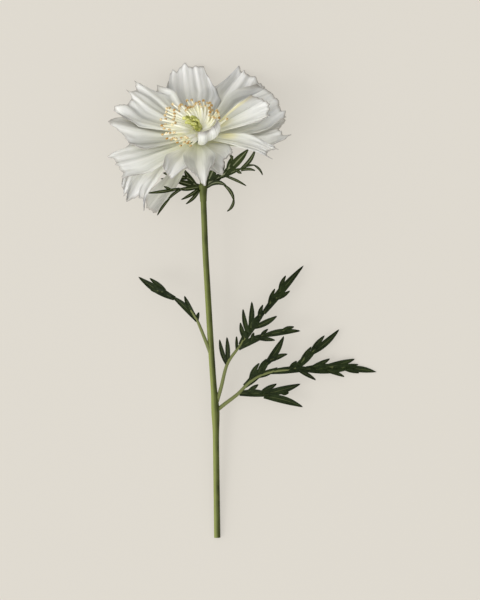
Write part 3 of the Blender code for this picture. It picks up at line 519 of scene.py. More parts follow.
# Stem. One green stalk, round and finely ribbed, a little thicker where the leaves leave it. It was
# cut straight across at its lower end, and its neck bends up to the receptacle behind the petals.
STEM_RADIUS = 1.1
STEM_BENDS = ((15.0, 1.6), (39.0, 2.5), (73.0, 4.5), (93.0, 5.9), (113.0, 6.2), (136.0, 6.5))
STEM_STEPS = 12
STEM_CROWDING = 1.5
NECK_TOP = 1.2
NECK_MIDDLE = 0.42
NECK_TURN = 2.6
STEM_TAPER = 0.08
STEM_LEAN_COSINE = 0.995
STEM_END_HEIGHT = STEM_RADIUS * STEM_LEAN_COSINE
NECK_BASE = BLOOM_CENTRE + Vector((1.6, -15.0, -8.3))
NECK_SAG = Vector((0.0, 1.6, -1.7))
NODE_DROP = 93.0
NODE_SWELL = 0.35
NODE_LENGTH = 5.0
RECEPTACLE_RADIUS = 2.5
RECEPTACLE_BOTTOM = -4.2
RECEPTACLE_TOP = 3.4
STEM_RIBS = 11
STEM_RIB_DEPTH = 0.05
STEM_SIDES = 66
STEM_RINGS_A_STEP = 6
RECEPTACLE_SIDES = 48
# Painted light on the stalk's left side, weaker towards the neck, where TOP_SHADE leaves more painted shade:
PAINTED_LIGHT_SIDE = 0.8
PAINTED_LIGHT_DROP = 90.0
TOP_SHADE = 0.55
PAINTED_LIGHT_START = 0.35
PAINTED_LIGHT_REACH = 0.65
RELIEF_DEPTH = 0.0002
PATCH_SCALE = 160.0
GREEN_SPREAD = (0.75, 1.25)
RUN_PER_MM = 0.01


def along_curve(points, steps):
    """Places on a smooth curve through the points."""
    def pick(number):
        return Vector(points[min(max(number, 0), len(points) - 1)])

    places = []
    for number in range(len(points) - 1):
        before, start, end, after = (pick(number + shift) for shift in (-1, 0, 1, 2))
        for step in range(steps):
            t = step / steps
            places.append(0.5 * ((2.0 * start) + (end - before) * t
                                 + (2.0 * before - 5.0 * start + 4.0 * end - after) * t * t
                                 + (3.0 * start - before - 3.0 * end + after) * t ** 3))
    places.append(pick(len(points) - 1))
    return places


def stem_place(drop):
    """The stem's centre at a distance along -Y from the bloom's centre."""
    for (start, start_x), (end, end_x) in zip(STEM_BENDS, STEM_BENDS[1:]):
        if drop <= end:
            break
    x = start_x + (end_x - start_x) * (drop - start) / (end - start)
    share = (drop - STEM_BENDS[0][0]) / (STEM_BENDS[-1][0] - STEM_BENDS[0][0])
    z = NECK_BASE.z + (STEM_END_HEIGHT - NECK_BASE.z) * share
    return Vector((BLOOM_CENTRE.x + x, BLOOM_CENTRE.y - drop, z))


def stem_line(steps):
    """The stem's centre line from its cut end, through the neck's bend, up into the receptacle."""
    neck, cut_end = STEM_BENDS[0][0], STEM_BENDS[-1][0]
    shares = [(1.0 - number / STEM_STEPS) ** STEM_CROWDING for number in range(STEM_STEPS + 1)]
    below = [stem_place(neck + (cut_end - neck) * share) for share in shares]
    top = BLOOM_CENTRE + FACE * (RECEPTACLE_BOTTOM + NECK_TOP)
    neck_bend = NECK_BASE.lerp(top, NECK_MIDDLE) + NECK_SAG
    return along_curve(below + [neck_bend, top - FACE * NECK_TURN, top], steps)


def stem_radius(place):
    """The stem's radius: thinner towards the neck, and swollen where the leaves leave it."""
    drop = BLOOM_CENTRE.y - place.y
    swell = NODE_SWELL * math.exp(-((drop - NODE_DROP) / NODE_LENGTH) ** 2)
    return STEM_RADIUS + swell - STEM_TAPER * (1.0 - drop / STEM_BENDS[-1][0])


def swept(shape, line, radius_at, sides):
    """Rings of a closed stalk in millimetres along a line, added to a bmesh, with both ends capped.
    radius_at(number, angle) gives each ring's radius; the UV runs round and along in millimetres."""
    uv_layer = shape.loops.layers.uv.verify()
    rings, lengths, length = [], [], 0.0
    across = SIDE.copy()
    for number, place in enumerate(line):
        before, after = line[max(number - 1, 0)], line[min(number + 1, len(line) - 1)]
        run = (after - before).normalized()
        across = (across - run * across.dot(run)).normalized()
        up = run.cross(across)
        if number:
            length += (place - line[number - 1]).length
        lengths.append(length)
        ring = []
        for side in range(sides):
            angle = 2.0 * math.pi * side / sides
            reach = radius_at(number, angle)
            aside, above = across * reach * math.cos(angle), up * reach * math.sin(angle)
            ring.append(shape.verts.new(place + aside + above))
        rings.append(ring)
    for number in range(len(rings) - 1):
        for side in range(sides):
            after = (side + 1) % sides
            face = shape.faces.new((rings[number][side], rings[number][after],
                                    rings[number + 1][after], rings[number + 1][side]))
            corners = ((side, number), (side + 1, number), (side + 1, number + 1), (side, number + 1))
            for loop, (turn, step) in zip(face.loops, corners):
                loop[uv_layer].uv = (turn / sides, lengths[step] * RUN_PER_MM)
    shape.faces.new(list(reversed(rings[0])))
    shape.faces.new(rings[-1])
    return rings


def placed(name, shape, finish, sharp=math.radians(50.0)):
    """An object in metres from a bmesh in millimetres, shaded smooth but for its sharp edges."""
    mesh = bpy.data.meshes.new(name)
    shape.transform(Matrix.Scale(MM, 4))
    bmesh.ops.recalc_face_normals(shape, faces=shape.faces)
    shape.to_mesh(mesh)
    shape.free()
    mesh.shade_smooth()
    mesh.set_sharp_from_angle(angle=sharp)
    mesh.materials.append(finish)
    return add_object(name, mesh)


def node_group(name, inputs, outputs):
    """A shader node group with its sockets, and a maker of nodes inside it that are wired as they come."""
    group = bpy.data.node_groups.new(name, "ShaderNodeTree")
    for way, sockets in (("INPUT", inputs), ("OUTPUT", outputs)):
        for socket, kind in sockets.items():
            group.interface.new_socket(socket, in_out=way, socket_type="NodeSocket" + kind)

    def node(kind, wired, **settings):
        return new_node(group, kind, wired, **settings)

    return group, node, group.nodes.new("NodeGroupInput").outputs


def toned_finish(name, group, roughness, specular, soft, values):
    """A soft matt finish that takes its colour and its fine relief from a group of tones."""
    made, tree, shader = soft_material(name, roughness, specular, soft, (1.0, 0.95, 0.7))
    tones = new_node(tree, "ShaderNodeGroup", values, node_tree=group)
    relief = new_node(tree, "ShaderNodeBump", {
        "Height": tones["Relief"], "Distance": RELIEF_DEPTH, "Strength": 0.5})["Normal"]
    wire(tree, shader, {"Base Color": tones["Color"], "Normal": relief})
    return made


def paint_light_on_left_side(rings, layer, light_shares):
    """Paints light on a stalk's left side, ring by ring, more where the ring's share of light is higher."""
    for ring, light_share in zip(rings, light_shares):
        for side, vert in enumerate(ring):
            to_left = smooth_step(PAINTED_LIGHT_START - PAINTED_LIGHT_REACH * math.cos(2.0 * math.pi * side / len(ring)))
            vert[layer] = PAINTED_LIGHT_SIDE * light_share * to_left


# Plant green, for stem and leaves: fine streaks along the piece and soft patches of two greens, with a
# paler tint on the ribs of leaves and bracts. On the stem and its collar the paler tint is painted light on
# their left side.
green_tones, green_node, green_given = node_group("green tones", {
    "Dark": "Color", "Light": "Color", "Pale": "Color", "Streaks": "Vector", "Pale From": "Float"},
    {"Color": "Color", "Relief": "Float"})
run_map = green_node("ShaderNodeUVMap", {}, uv_map="run")["UV"]
streaked = green_node("ShaderNodeVectorMath", {
    0: run_map, 1: green_given["Streaks"]}, operation="MULTIPLY")["Vector"]
streaks = green_node("ShaderNodeTexNoise", {"Vector": streaked, "Scale": 1.0, "Detail": 4.0})["Fac"]
own_place = green_node("ShaderNodeTexCoord", {})["Object"]
patches = green_node("ShaderNodeTexNoise", {"Vector": own_place, "Scale": PATCH_SCALE, "Detail": 3.0})["Fac"]
both = green_node("ShaderNodeMath", {0: streaks, 1: patches}, operation="ADD")[0]
spread = green_node("ShaderNodeMapRange", {
    "Value": both, "From Min": GREEN_SPREAD[0], "From Max": GREEN_SPREAD[1]})["Result"]
greens = green_node("ShaderNodeMix", {
    "Factor": spread, "A": green_given["Dark"], "B": green_given["Light"]}, data_type="RGBA")["Result"]
# This mark is the paler ribs of leaves and bracts, and painted light on the left side of the stem and collar.
rib_and_lit_side_mark = green_node("ShaderNodeAttribute", {}, attribute_name="rib")["Fac"]
rib_and_lit_side_share = green_node("ShaderNodeMapRange", {
    "Value": rib_and_lit_side_mark, "From Min": green_given["Pale From"]})["Result"]
rib_and_lit_side_colour = green_node("ShaderNodeMix", {
    "Factor": rib_and_lit_side_share, "A": greens, "B": green_given["Pale"]}, data_type="RGBA")["Result"]
green_node("NodeGroupOutput", {"Color": rib_and_lit_side_colour, "Relief": streaks})

# The stem's pale colour is painted light on its left side.
stem_green = toned_finish("stem green", green_tones, roughness=0.42, specular=0.15, soft=0.0, values={
    "Dark": (0.018, 0.024, 0.004), "Light": (0.085, 0.1, 0.022), "Pale": (0.25, 0.285, 0.075),
    "Streaks": (30.0, 14.0, 1.0), "Pale From": 0.0})
stalk_line = stem_line(STEM_RINGS_A_STEP)
stalk = bmesh.new()
stalk.loops.layers.uv.new("run")
painted_light_layer = stalk.verts.layers.float.new("rib")
stalk_rings = swept(
    stalk, stalk_line, lambda number, angle:
    stem_radius(stalk_line[number]) - STEM_RIB_DEPTH * (0.5 - 0.5 * math.cos(STEM_RIBS * angle)), STEM_SIDES)
# Painted light: the stem's left side is paler, less so towards the neck.
paint_light_on_left_side(stalk_rings, painted_light_layer, [
    TOP_SHADE + (1.0 - TOP_SHADE) * smooth_step((BLOOM_CENTRE.y - place.y) / PAINTED_LIGHT_DROP)
    for place in stalk_line])
receptacle_axis = [BLOOM_CENTRE + FACE * height for height in (
    RECEPTACLE_BOTTOM, RECEPTACLE_BOTTOM + 0.3, RECEPTACLE_BOTTOM + 1.0, 0.0, RECEPTACLE_TOP - 0.4,
    RECEPTACLE_TOP - 0.15, RECEPTACLE_TOP)]
receptacle_radii = (STEM_RADIUS + 0.2, STEM_RADIUS + 0.8, RECEPTACLE_RADIUS - 0.1, RECEPTACLE_RADIUS,
                    RECEPTACLE_RADIUS, RECEPTACLE_RADIUS - 0.12, RECEPTACLE_RADIUS - 0.4)
swept(stalk, receptacle_axis, lambda number, angle: receptacle_radii[number], RECEPTACLE_SIDES)
stem = placed("stem_stalk", stalk, stem_green)
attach(stem, "root")
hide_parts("stem")


# Leaves. Three finely cut compound leaves, each on its own thin petiole from the stem. Their narrow
# pointed lobes grow out of one another in one blade, folded along sunken, paler midribs.
LEAF_KEEL = 0.25
LEAF_THICKNESS = 0.34
PETIOLE_RADIUS = 0.71
PETIOLE_TAPER = 0.45
LOBE_SHAPE = ((0.0, 0.6), (0.1, 0.74), (0.2, 0.88), (0.32, 0.98), (0.44, 1.0), (0.56, 0.95), (0.68, 0.82),
              (0.78, 0.63), (0.87, 0.42), (0.95, 0.18))
LOBE_MERGE = 0.015
RIB_MARK = 0.8
PETIOLE_MARK = 0.92
PETIOLE_SIDES = 16
PETIOLE_STEPS = 8
LEAF_END_SHARE = 1.15

# Each leaf grows from the stem at its drop below the bloom's centre, and its places are millimetres from
# there. Reach is its furthest tip, and heights are its sides' slope, its arch and the height of its tip.
# A lobe is its base, its tip, half its width and its bend to one side.
LEAVES = {
    "leaf_left": dict(
        drop=73.8, reach=(-25.0, 27.0), heights=(0.1, 6.0, -1.0),
        petiole=((0.0, 0.0), (-2.0, 5.1), (-4.8, 11.9), (-7.1, 15.6)),
        lobes=(((-4.9, 12.0), (-13.8, 20.5), 1.1, -0.6), ((-12.6, 19.6), (-25.0, 27.0), 1.3, 0.5),
               ((-15.8, 22.3), (-21.1, 26.5), 0.8, 0.0), ((-16.0, 21.9), (-20.7, 22.3), 0.8, 0.0),
               ((-6.2, 14.6), (-9.2, 20.4), 0.8, 0.3), ((-4.8, 12.0), (-4.3, 14.8), 0.6, 0.2))),
    "leaf_middle": dict(
        drop=91.5, reach=(30.3, 48.6), heights=(0.05, 5.5, -2.2),
        petiole=((0.0, 0.0), (2.0, 6.8), (4.1, 14.8), (7.5, 19.9), (10.2, 23.8)),
        lobes=(((8.6, 21.4), (18.0, 34.2), 1.3, 0.5), ((16.6, 32.3), (30.3, 48.6), 1.25, 0.3),
               ((4.1, 14.6), (1.5, 23.3), 0.75, 0.4), ((4.2, 15.2), (4.0, 24.1), 0.8, -0.2),
               ((7.4, 19.6), (7.3, 24.3), 0.45, 0.0), ((10.2, 23.2), (8.6, 29.0), 0.8, 0.2),
               ((11.4, 24.8), (9.5, 33.7), 0.8, 0.3), ((11.9, 26.2), (12.5, 36.2), 0.95, -0.3),
               ((15.0, 30.2), (16.3, 35.1), 0.7, 0.3), ((18.4, 34.4), (20.4, 40.6), 0.75, 0.3),
               ((22.0, 39.4), (24.1, 45.1), 0.75, 0.3), ((20.0, 37.0), (25.5, 39.9), 0.8, -0.3),
               ((13.4, 27.4), (21.1, 31.3), 1.0, -0.3), ((8.0, 20.2), (19.0, 25.2), 1.2, 0.6),
               ((16.8, 24.6), (29.1, 26.2), 1.1, 0.5), ((22.8, 26.2), (26.9, 27.6), 0.7, 0.2),
               ((12.2, 22.8), (13.2, 25.6), 0.6, 0.0), ((15.4, 24.0), (18.0, 26.8), 0.6, 0.2),
               ((15.0, 23.4), (20.4, 23.0), 0.7, 0.2))),
    "leaf_right": dict(
        drop=92.8, reach=(55.1, 13.4), heights=(0.05, 2.4, -7.0),
        petiole=((0.0, 0.0), (3.4, 2.7), (7.7, 6.0), (11.6, 9.9), (15.6, 12.3), (20.1, 13.7), (25.2, 14.2)),
        lobes=(((18.7, 13.4), (34.6, 14.6), 1.2, 0.3), ((31.0, 14.4), (47.0, 14.8), 1.7, 0.0),
               ((44.5, 14.7), (55.1, 13.4), 1.1, 0.3), ((26.4, 14.4), (35.0, 22.2), 1.2, -0.4),
               ((32.4, 19.6), (42.3, 28.0), 1.1, -0.5), ((32.6, 19.8), (37.3, 25.9), 0.9, 0.2),
               ((28.8, 15.8), (32.8, 22.1), 0.8, 0.2), ((25.2, 14.2), (27.8, 17.2), 0.6, 0.2),
               ((32.6, 14.8), (39.1, 18.0), 0.9, -0.2), ((36.6, 14.8), (47.7, 17.9), 1.2, -0.3),
               ((42.0, 14.8), (48.9, 16.0), 0.8, 0.0), ((28.4, 14.0), (34.3, 10.7), 0.7, 0.2),
               ((36.6, 14.4), (44.1, 11.8), 0.8, 0.3), ((44.4, 14.3), (49.1, 13.1), 0.7, 0.1),
               ((10.0, 8.6), (18.6, 17.6), 1.3, -0.4), ((17.2, 16.0), (23.4, 25.7), 1.2, -0.5),
               ((18.0, 17.0), (24.6, 19.6), 0.9, 0.3), ((14.6, 13.2), (17.4, 17.9), 0.7, 0.2),
               ((11.8, 11.0), (15.0, 16.5), 0.8, 0.3), ((14.0, 11.9), (21.2, 15.0), 1.0, -0.3),
               ((8.3, 6.1), (19.6, 5.4), 1.3, 0.5), ((16.6, 5.2), (29.9, 1.5), 1.3, 0.6),
               ((16.0, 5.9), (29.1, 9.4), 1.3, -0.4), ((15.6, 6.4), (20.9, 9.4), 0.9, 0.0),
               ((10.9, 6.4), (14.6, 9.2), 0.8, 0.0), ((22.6, 6.2), (25.0, 6.4), 0.8, 0.0))),
}


def lobe_spots(base, tip, half_width, bend):
    """A narrow pointed lobe: the points of its edge all the way round, and those of its midrib."""
    base, tip = Vector(base), Vector(tip)
    run = tip - base
    across = Vector((-run.y, run.x)).normalized()

    def spot(share, side):
        sway = bend * 4.0 * share * (1.0 - share)
        return base + run * share + across * (sway + side * half_width)

    right = [spot(share, -width) for share, width in LOBE_SHAPE]
    left = [spot(share, width) for share, width in reversed(LOBE_SHAPE)]
    return right + [spot(1.0, 0.0)] + left, [spot(share, 0.0) for share, _ in LOBE_SHAPE]


def cut_blade(name, lobes, root, height, keel, thickness, turn=Matrix.Identity(3)):
    """A cut blade: all its lobes in one outline, with their midribs sunk, bent by height(x, y)."""
    spots, ribs, outlines, rib_spots = [], [], [], set()
    for lobe in lobes:
        edge, rib = lobe_spots(*lobe)
        start = len(spots)
        rib_start = start + len(edge)
        spots += edge + rib
        outlines.append(list(range(start, rib_start)) + [rib_start])
        rib_run = list(range(rib_start, rib_start + len(rib)))
        ribs += list(zip(rib_run, rib_run[1:] + [start + len(LOBE_SHAPE)]))
        rib_spots |= set(rib_run)
    flat, _, faces, sources, _, _ = geometry.delaunay_2d_cdt(spots, ribs, outlines, 1, LOBE_MERGE)
    points, rib_values = [], []
    for spot, source in zip(flat, sources):
        on_rib = bool(rib_spots & set(source))
        point = root + turn @ Vector((spot.x, spot.y, height(spot.x, spot.y) - (keel if on_rib else 0.0)))
        points.append(on_surface(point, thickness * 0.5))
        rib_values.append(RIB_MARK if on_rib else 0.0)
    mesh = bpy.data.meshes.new(name)
    mesh.from_pydata(points, [], faces)
    mesh.attributes.new("rib", "FLOAT", "POINT").data.foreach_set("value", rib_values)
    run = mesh.uv_layers.new(name="run")
    for loop in mesh.loops:
        run.data[loop.index].uv = flat[loop.vertex_index] * RUN_PER_MM
    return closed_blade(name, mesh, thickness)


def arched(reach, rise, middle, end):
    """A height that goes from 0 at the root over a middle height to an end height along a reach (x, y)."""
    reach = Vector(reach)

    def height(x, y):
        share = min(max(Vector((x, y)).dot(reach) / reach.length_squared, 0.0), LEAF_END_SHARE)
        side = abs(Vector((x, y)).cross(reach)) / reach.length
        return 2.0 * share * (1.0 - share) * middle + share * share * end + rise * side

    return height


def one_piece(name, parts, finish):
    """Parts that have grown together, as one object."""
    shape = bmesh.new()
    for part in parts:
        shape.from_mesh(part.data)
        bpy.data.objects.remove(part, do_unlink=True)
    shape.transform(Matrix.Scale(1.0 / MM, 4))
    return placed(name, shape, finish)


leaf_green = toned_finish("leaf green", green_tones, roughness=0.5, specular=0.12, soft=0.0, values={
    "Dark": (0.004, 0.008, 0.001), "Light": (0.016, 0.027, 0.005), "Pale": (0.2, 0.22, 0.08),
    "Streaks": (160.0, 160.0, 1.0), "Pale From": 0.7})
for leaf_name, spec in LEAVES.items():
    root = stem_place(spec["drop"])
    leaf_height = arched(spec["reach"], *spec["heights"])
    blade = cut_blade(leaf_name + " blade", spec["lobes"], root, leaf_height, LEAF_KEEL, LEAF_THICKNESS)
    petiole_line = along_curve([root + Vector((x, y, leaf_height(x, y) - LEAF_KEEL))
                                for x, y in spec["petiole"]], PETIOLE_STEPS)
    petiole = bmesh.new()
    petiole.loops.layers.uv.new("run")
    rib_layer = petiole.verts.layers.float.new("rib")
    swept(petiole, petiole_line, lambda number, angle:
          PETIOLE_RADIUS * (1.0 - PETIOLE_TAPER * number / (len(petiole_line) - 1)), PETIOLE_SIDES)
    for vert in petiole.verts:
        vert[rib_layer] = PETIOLE_MARK
    petiole = placed(leaf_name + " petiole", petiole, leaf_green)
    leaf = one_piece("grown_" + leaf_name, [blade, petiole], leaf_green)
    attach(leaf, "root")
    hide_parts(leaf_name)


# Involucre. Seven finely cut bracts spread from a small collar where the neck widens, behind the bloom.
# They are built like the leaves, with thinner, more thread-like lobes.
BRACT_KEEL = 0.15
BRACT_DROOP = 0.012
BRACT_THICKNESS = 0.3
COLLAR_DROP = 16.6
COLLAR_STEPS = ((-4.6, 1.12), (-3.4, 1.17), (-2.2, 1.26), (-1.0, 1.4), (0.2, 1.6), (0.9, 1.75), (1.2, 1.7))
COLLAR_SIDES = 48

# Each bract rises from the collar with its slope, after its turn about the stem in degrees. Its lobes
# are given as a leaf's are.
BRACTS = (
    dict(slope=0.75, turn=0.0, lobes=(
        ((-1.2, 0.5), (-9.0, -0.4), 0.75, 0.3), ((-8.0, -0.2), (-18.8, -1.8), 0.55, 0.2),
        ((-10.8, -0.7), (-13.2, 0.5), 0.45, 0.0), ((-7.0, -0.3), (-12.2, -4.6), 0.5, -0.5),
        ((-11.5, -3.8), (-15.5, -9.4), 0.45, -0.2))),
    dict(slope=-0.1, turn=0.0, lobes=(
        ((-1.2, 0.7), (-10.6, 3.0), 1.0, 0.2), ((-2.6, 1.3), (-6.4, 6.4), 1.0, 0.4),
        ((-5.0, 3.4), (-10.4, 4.6), 0.8, 0.2), ((-9.2, 2.9), (-14.4, 3.2), 0.5, 0.0),
        ((-9.4, 4.3), (-13.6, 5.2), 0.7, 0.0))),
    dict(slope=0.75, turn=0.0, lobes=(
        ((-0.8, 0.2), (-7.4, -4.0), 0.6, 0.3), ((-1.2, -0.6), (-5.8, -5.5), 0.6, 0.4))),
    dict(slope=0.2, turn=0.0, lobes=(
        ((1.2, 0.5), (8.6, 6.0), 1.2, 0.2), ((7.6, 5.2), (15.6, 13.4), 1.4, -0.2),
        ((5.4, 4.2), (7.2, 9.2), 0.8, -0.2), ((8.4, 6.2), (10.2, 11.0), 0.9, 0.0),
        ((9.8, 9.0), (8.2, 13.4), 0.35, -0.4), ((1.6, 0.8), (4.4, 7.6), 1.7, 0.3),
        ((4.6, 3.2), (13.6, 6.8), 0.9, 0.2), ((12.8, 6.4), (17.9, 13.4), 0.7, -0.8),
        ((11.4, 5.9), (13.1, 5.0), 0.5, 0.0), ((13.0, 6.0), (17.8, 5.9), 0.5, 0.5),
        ((13.6, 6.6), (18.0, 7.6), 0.35, 0.6), ((17.2, 7.9), (20.3, 4.4), 0.35, 0.5),
        ((7.2, 4.2), (14.8, 0.7), 0.45, 0.3))),
    dict(slope=0.5, turn=0.0, lobes=(
        ((1.4, 0.4), (8.4, 0.4), 0.8, 1.5), ((7.4, 0.9), (10.6, -4.8), 0.6, 0.7),
        ((10.5, -3.9), (8.2, -8.0), 0.5, 0.6))),
    dict(slope=-0.35, turn=78.0, lobes=(
        ((0.6, 0.6), (7.4, 4.2), 1.1, 0.4), ((6.4, 3.6), (12.0, 9.6), 0.8, 0.4),
        ((5.6, 3.4), (6.2, 8.6), 0.7, 0.0), ((6.0, 3.0), (12.2, 3.4), 0.6, 0.0))),
    dict(slope=0.35, turn=108.0, lobes=(
        ((0.6, 0.6), (7.0, 3.6), 1.1, 0.3), ((6.0, 3.0), (11.4, 8.0), 0.8, 0.4),
        ((5.2, 2.6), (6.4, 7.6), 0.7, 0.0), ((5.8, 2.6), (11.6, 2.4), 0.6, 0.0))),
)


def rising(slope):
    """A height that grows with the distance from the stem, and droops again further out."""
    return lambda x, y: slope * (math.hypot(x, y) - BRACT_DROOP * (x * x + y * y))


bract_green = toned_finish("bract green", green_tones, roughness=0.5, specular=0.12, soft=0.0, values={
    "Dark": (0.008, 0.014, 0.002), "Light": (0.03, 0.043, 0.007), "Pale": (0.42, 0.44, 0.26),
    "Streaks": (90.0, 260.0, 1.0), "Pale From": 0.6})
collar_middle = stem_place(COLLAR_DROP)
collar_run = (collar_middle - stem_place(COLLAR_DROP + 20.0)).normalized()
collar_shape = bmesh.new()
collar_painted_light = collar_shape.verts.layers.float.new("rib")
collar_rings = swept(collar_shape, [collar_middle + collar_run * height for height, _ in COLLAR_STEPS],
                     lambda number, angle: COLLAR_STEPS[number][1], COLLAR_SIDES)
# Painted light: the collar's left side is paler, as at the top of the stem.
paint_light_on_left_side(collar_rings, collar_painted_light, [TOP_SHADE] * len(collar_rings))
collar = placed("neck_collar", collar_shape, stem_green)
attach(collar, "root")
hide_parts("involucre")

bract_parts = [
    cut_blade("bract", bract["lobes"], collar_middle, rising(bract["slope"]), BRACT_KEEL, BRACT_THICKNESS,
              Matrix.Rotation(math.radians(bract["turn"]), 3, "Y")) for bract in BRACTS]
involucre = one_piece("grown_involucre", bract_parts, bract_green)
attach(involucre, "root")
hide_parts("involucre")


# Stamens. A ring of cream filaments, broad at the base, stands on a low cushion. Each one bends
# outwards and carries a small two-lobed anther. The ring is open where the inner petal stands.
CUSHION_RADIUS = 3.1
CUSHION_BOTTOM = 3.7
CUSHION_TOP = 4.7
CUSHION_SIDES = 40
STAMEN_TURN = (Matrix.Translation(BLOOM_CENTRE * MM) @ Matrix.Rotation(-BLOOM_TILT, 4, "X")
               @ Matrix.Scale(MM, 4))
STAMEN_VALUES = {
    "Count": 100, "Seed": 7, "Spread": 11.0, "Rise": 7.9, "Root Radius": 1.8, "Root Height": 4.4,
    "Ring Shift": -1.6, "Gap Start": math.radians(-92.0), "Gap Width": math.radians(98.0),
    "Base Width": 1.0, "Tip Width": 0.2, "Bend": 0.6, "Anther Width": 0.32, "Anther Length": 0.54,
}
FILAMENT_RINGS = 9
FILAMENT_SIDES = 8
ANTHER_SIDES = 10
ANTHER_RINGS = 8
LOBE_SHIFT = 0.55

# What chance does to each stamen: its turn in places of the ring, and shares or millimetres of the rest.
TURN_DRAW = (-0.4, 0.4)
REACH_DRAW = (0.8, 1.05)
INNER_REACH_DRAW = (0.04, 0.42)
RISE_DRAW = (-0.9, 0.6)
INNER_RISE = 0.5
ROOT_DRAW = (0.0, 0.9)
ANTHER_DRAW = (0.8, 1.1)


# Specks, for filaments, anthers and styles: two colours in soft grains.
speck_tones, speck_node, speck_given = node_group(
    "speck tones", {"First": "Color", "Second": "Color", "Scale": "Float", "Low": "Float", "High": "Float"},
    {"Color": "Color", "Relief": "Float"})
speck_place = speck_node("ShaderNodeTexCoord", {})["Object"]
grains = speck_node("ShaderNodeTexNoise", {
    "Vector": speck_place, "Scale": speck_given["Scale"], "Detail": 3.0})["Fac"]
grain_share = speck_node("ShaderNodeMapRange", {
    "Value": grains, "From Min": speck_given["Low"], "From Max": speck_given["High"]})[0]
specks = speck_node("ShaderNodeMix", {
    "Factor": grain_share, "A": speck_given["First"], "B": speck_given["Second"]}, data_type="RGBA")["Result"]
speck_node("NodeGroupOutput", {"Color": specks, "Relief": grains})


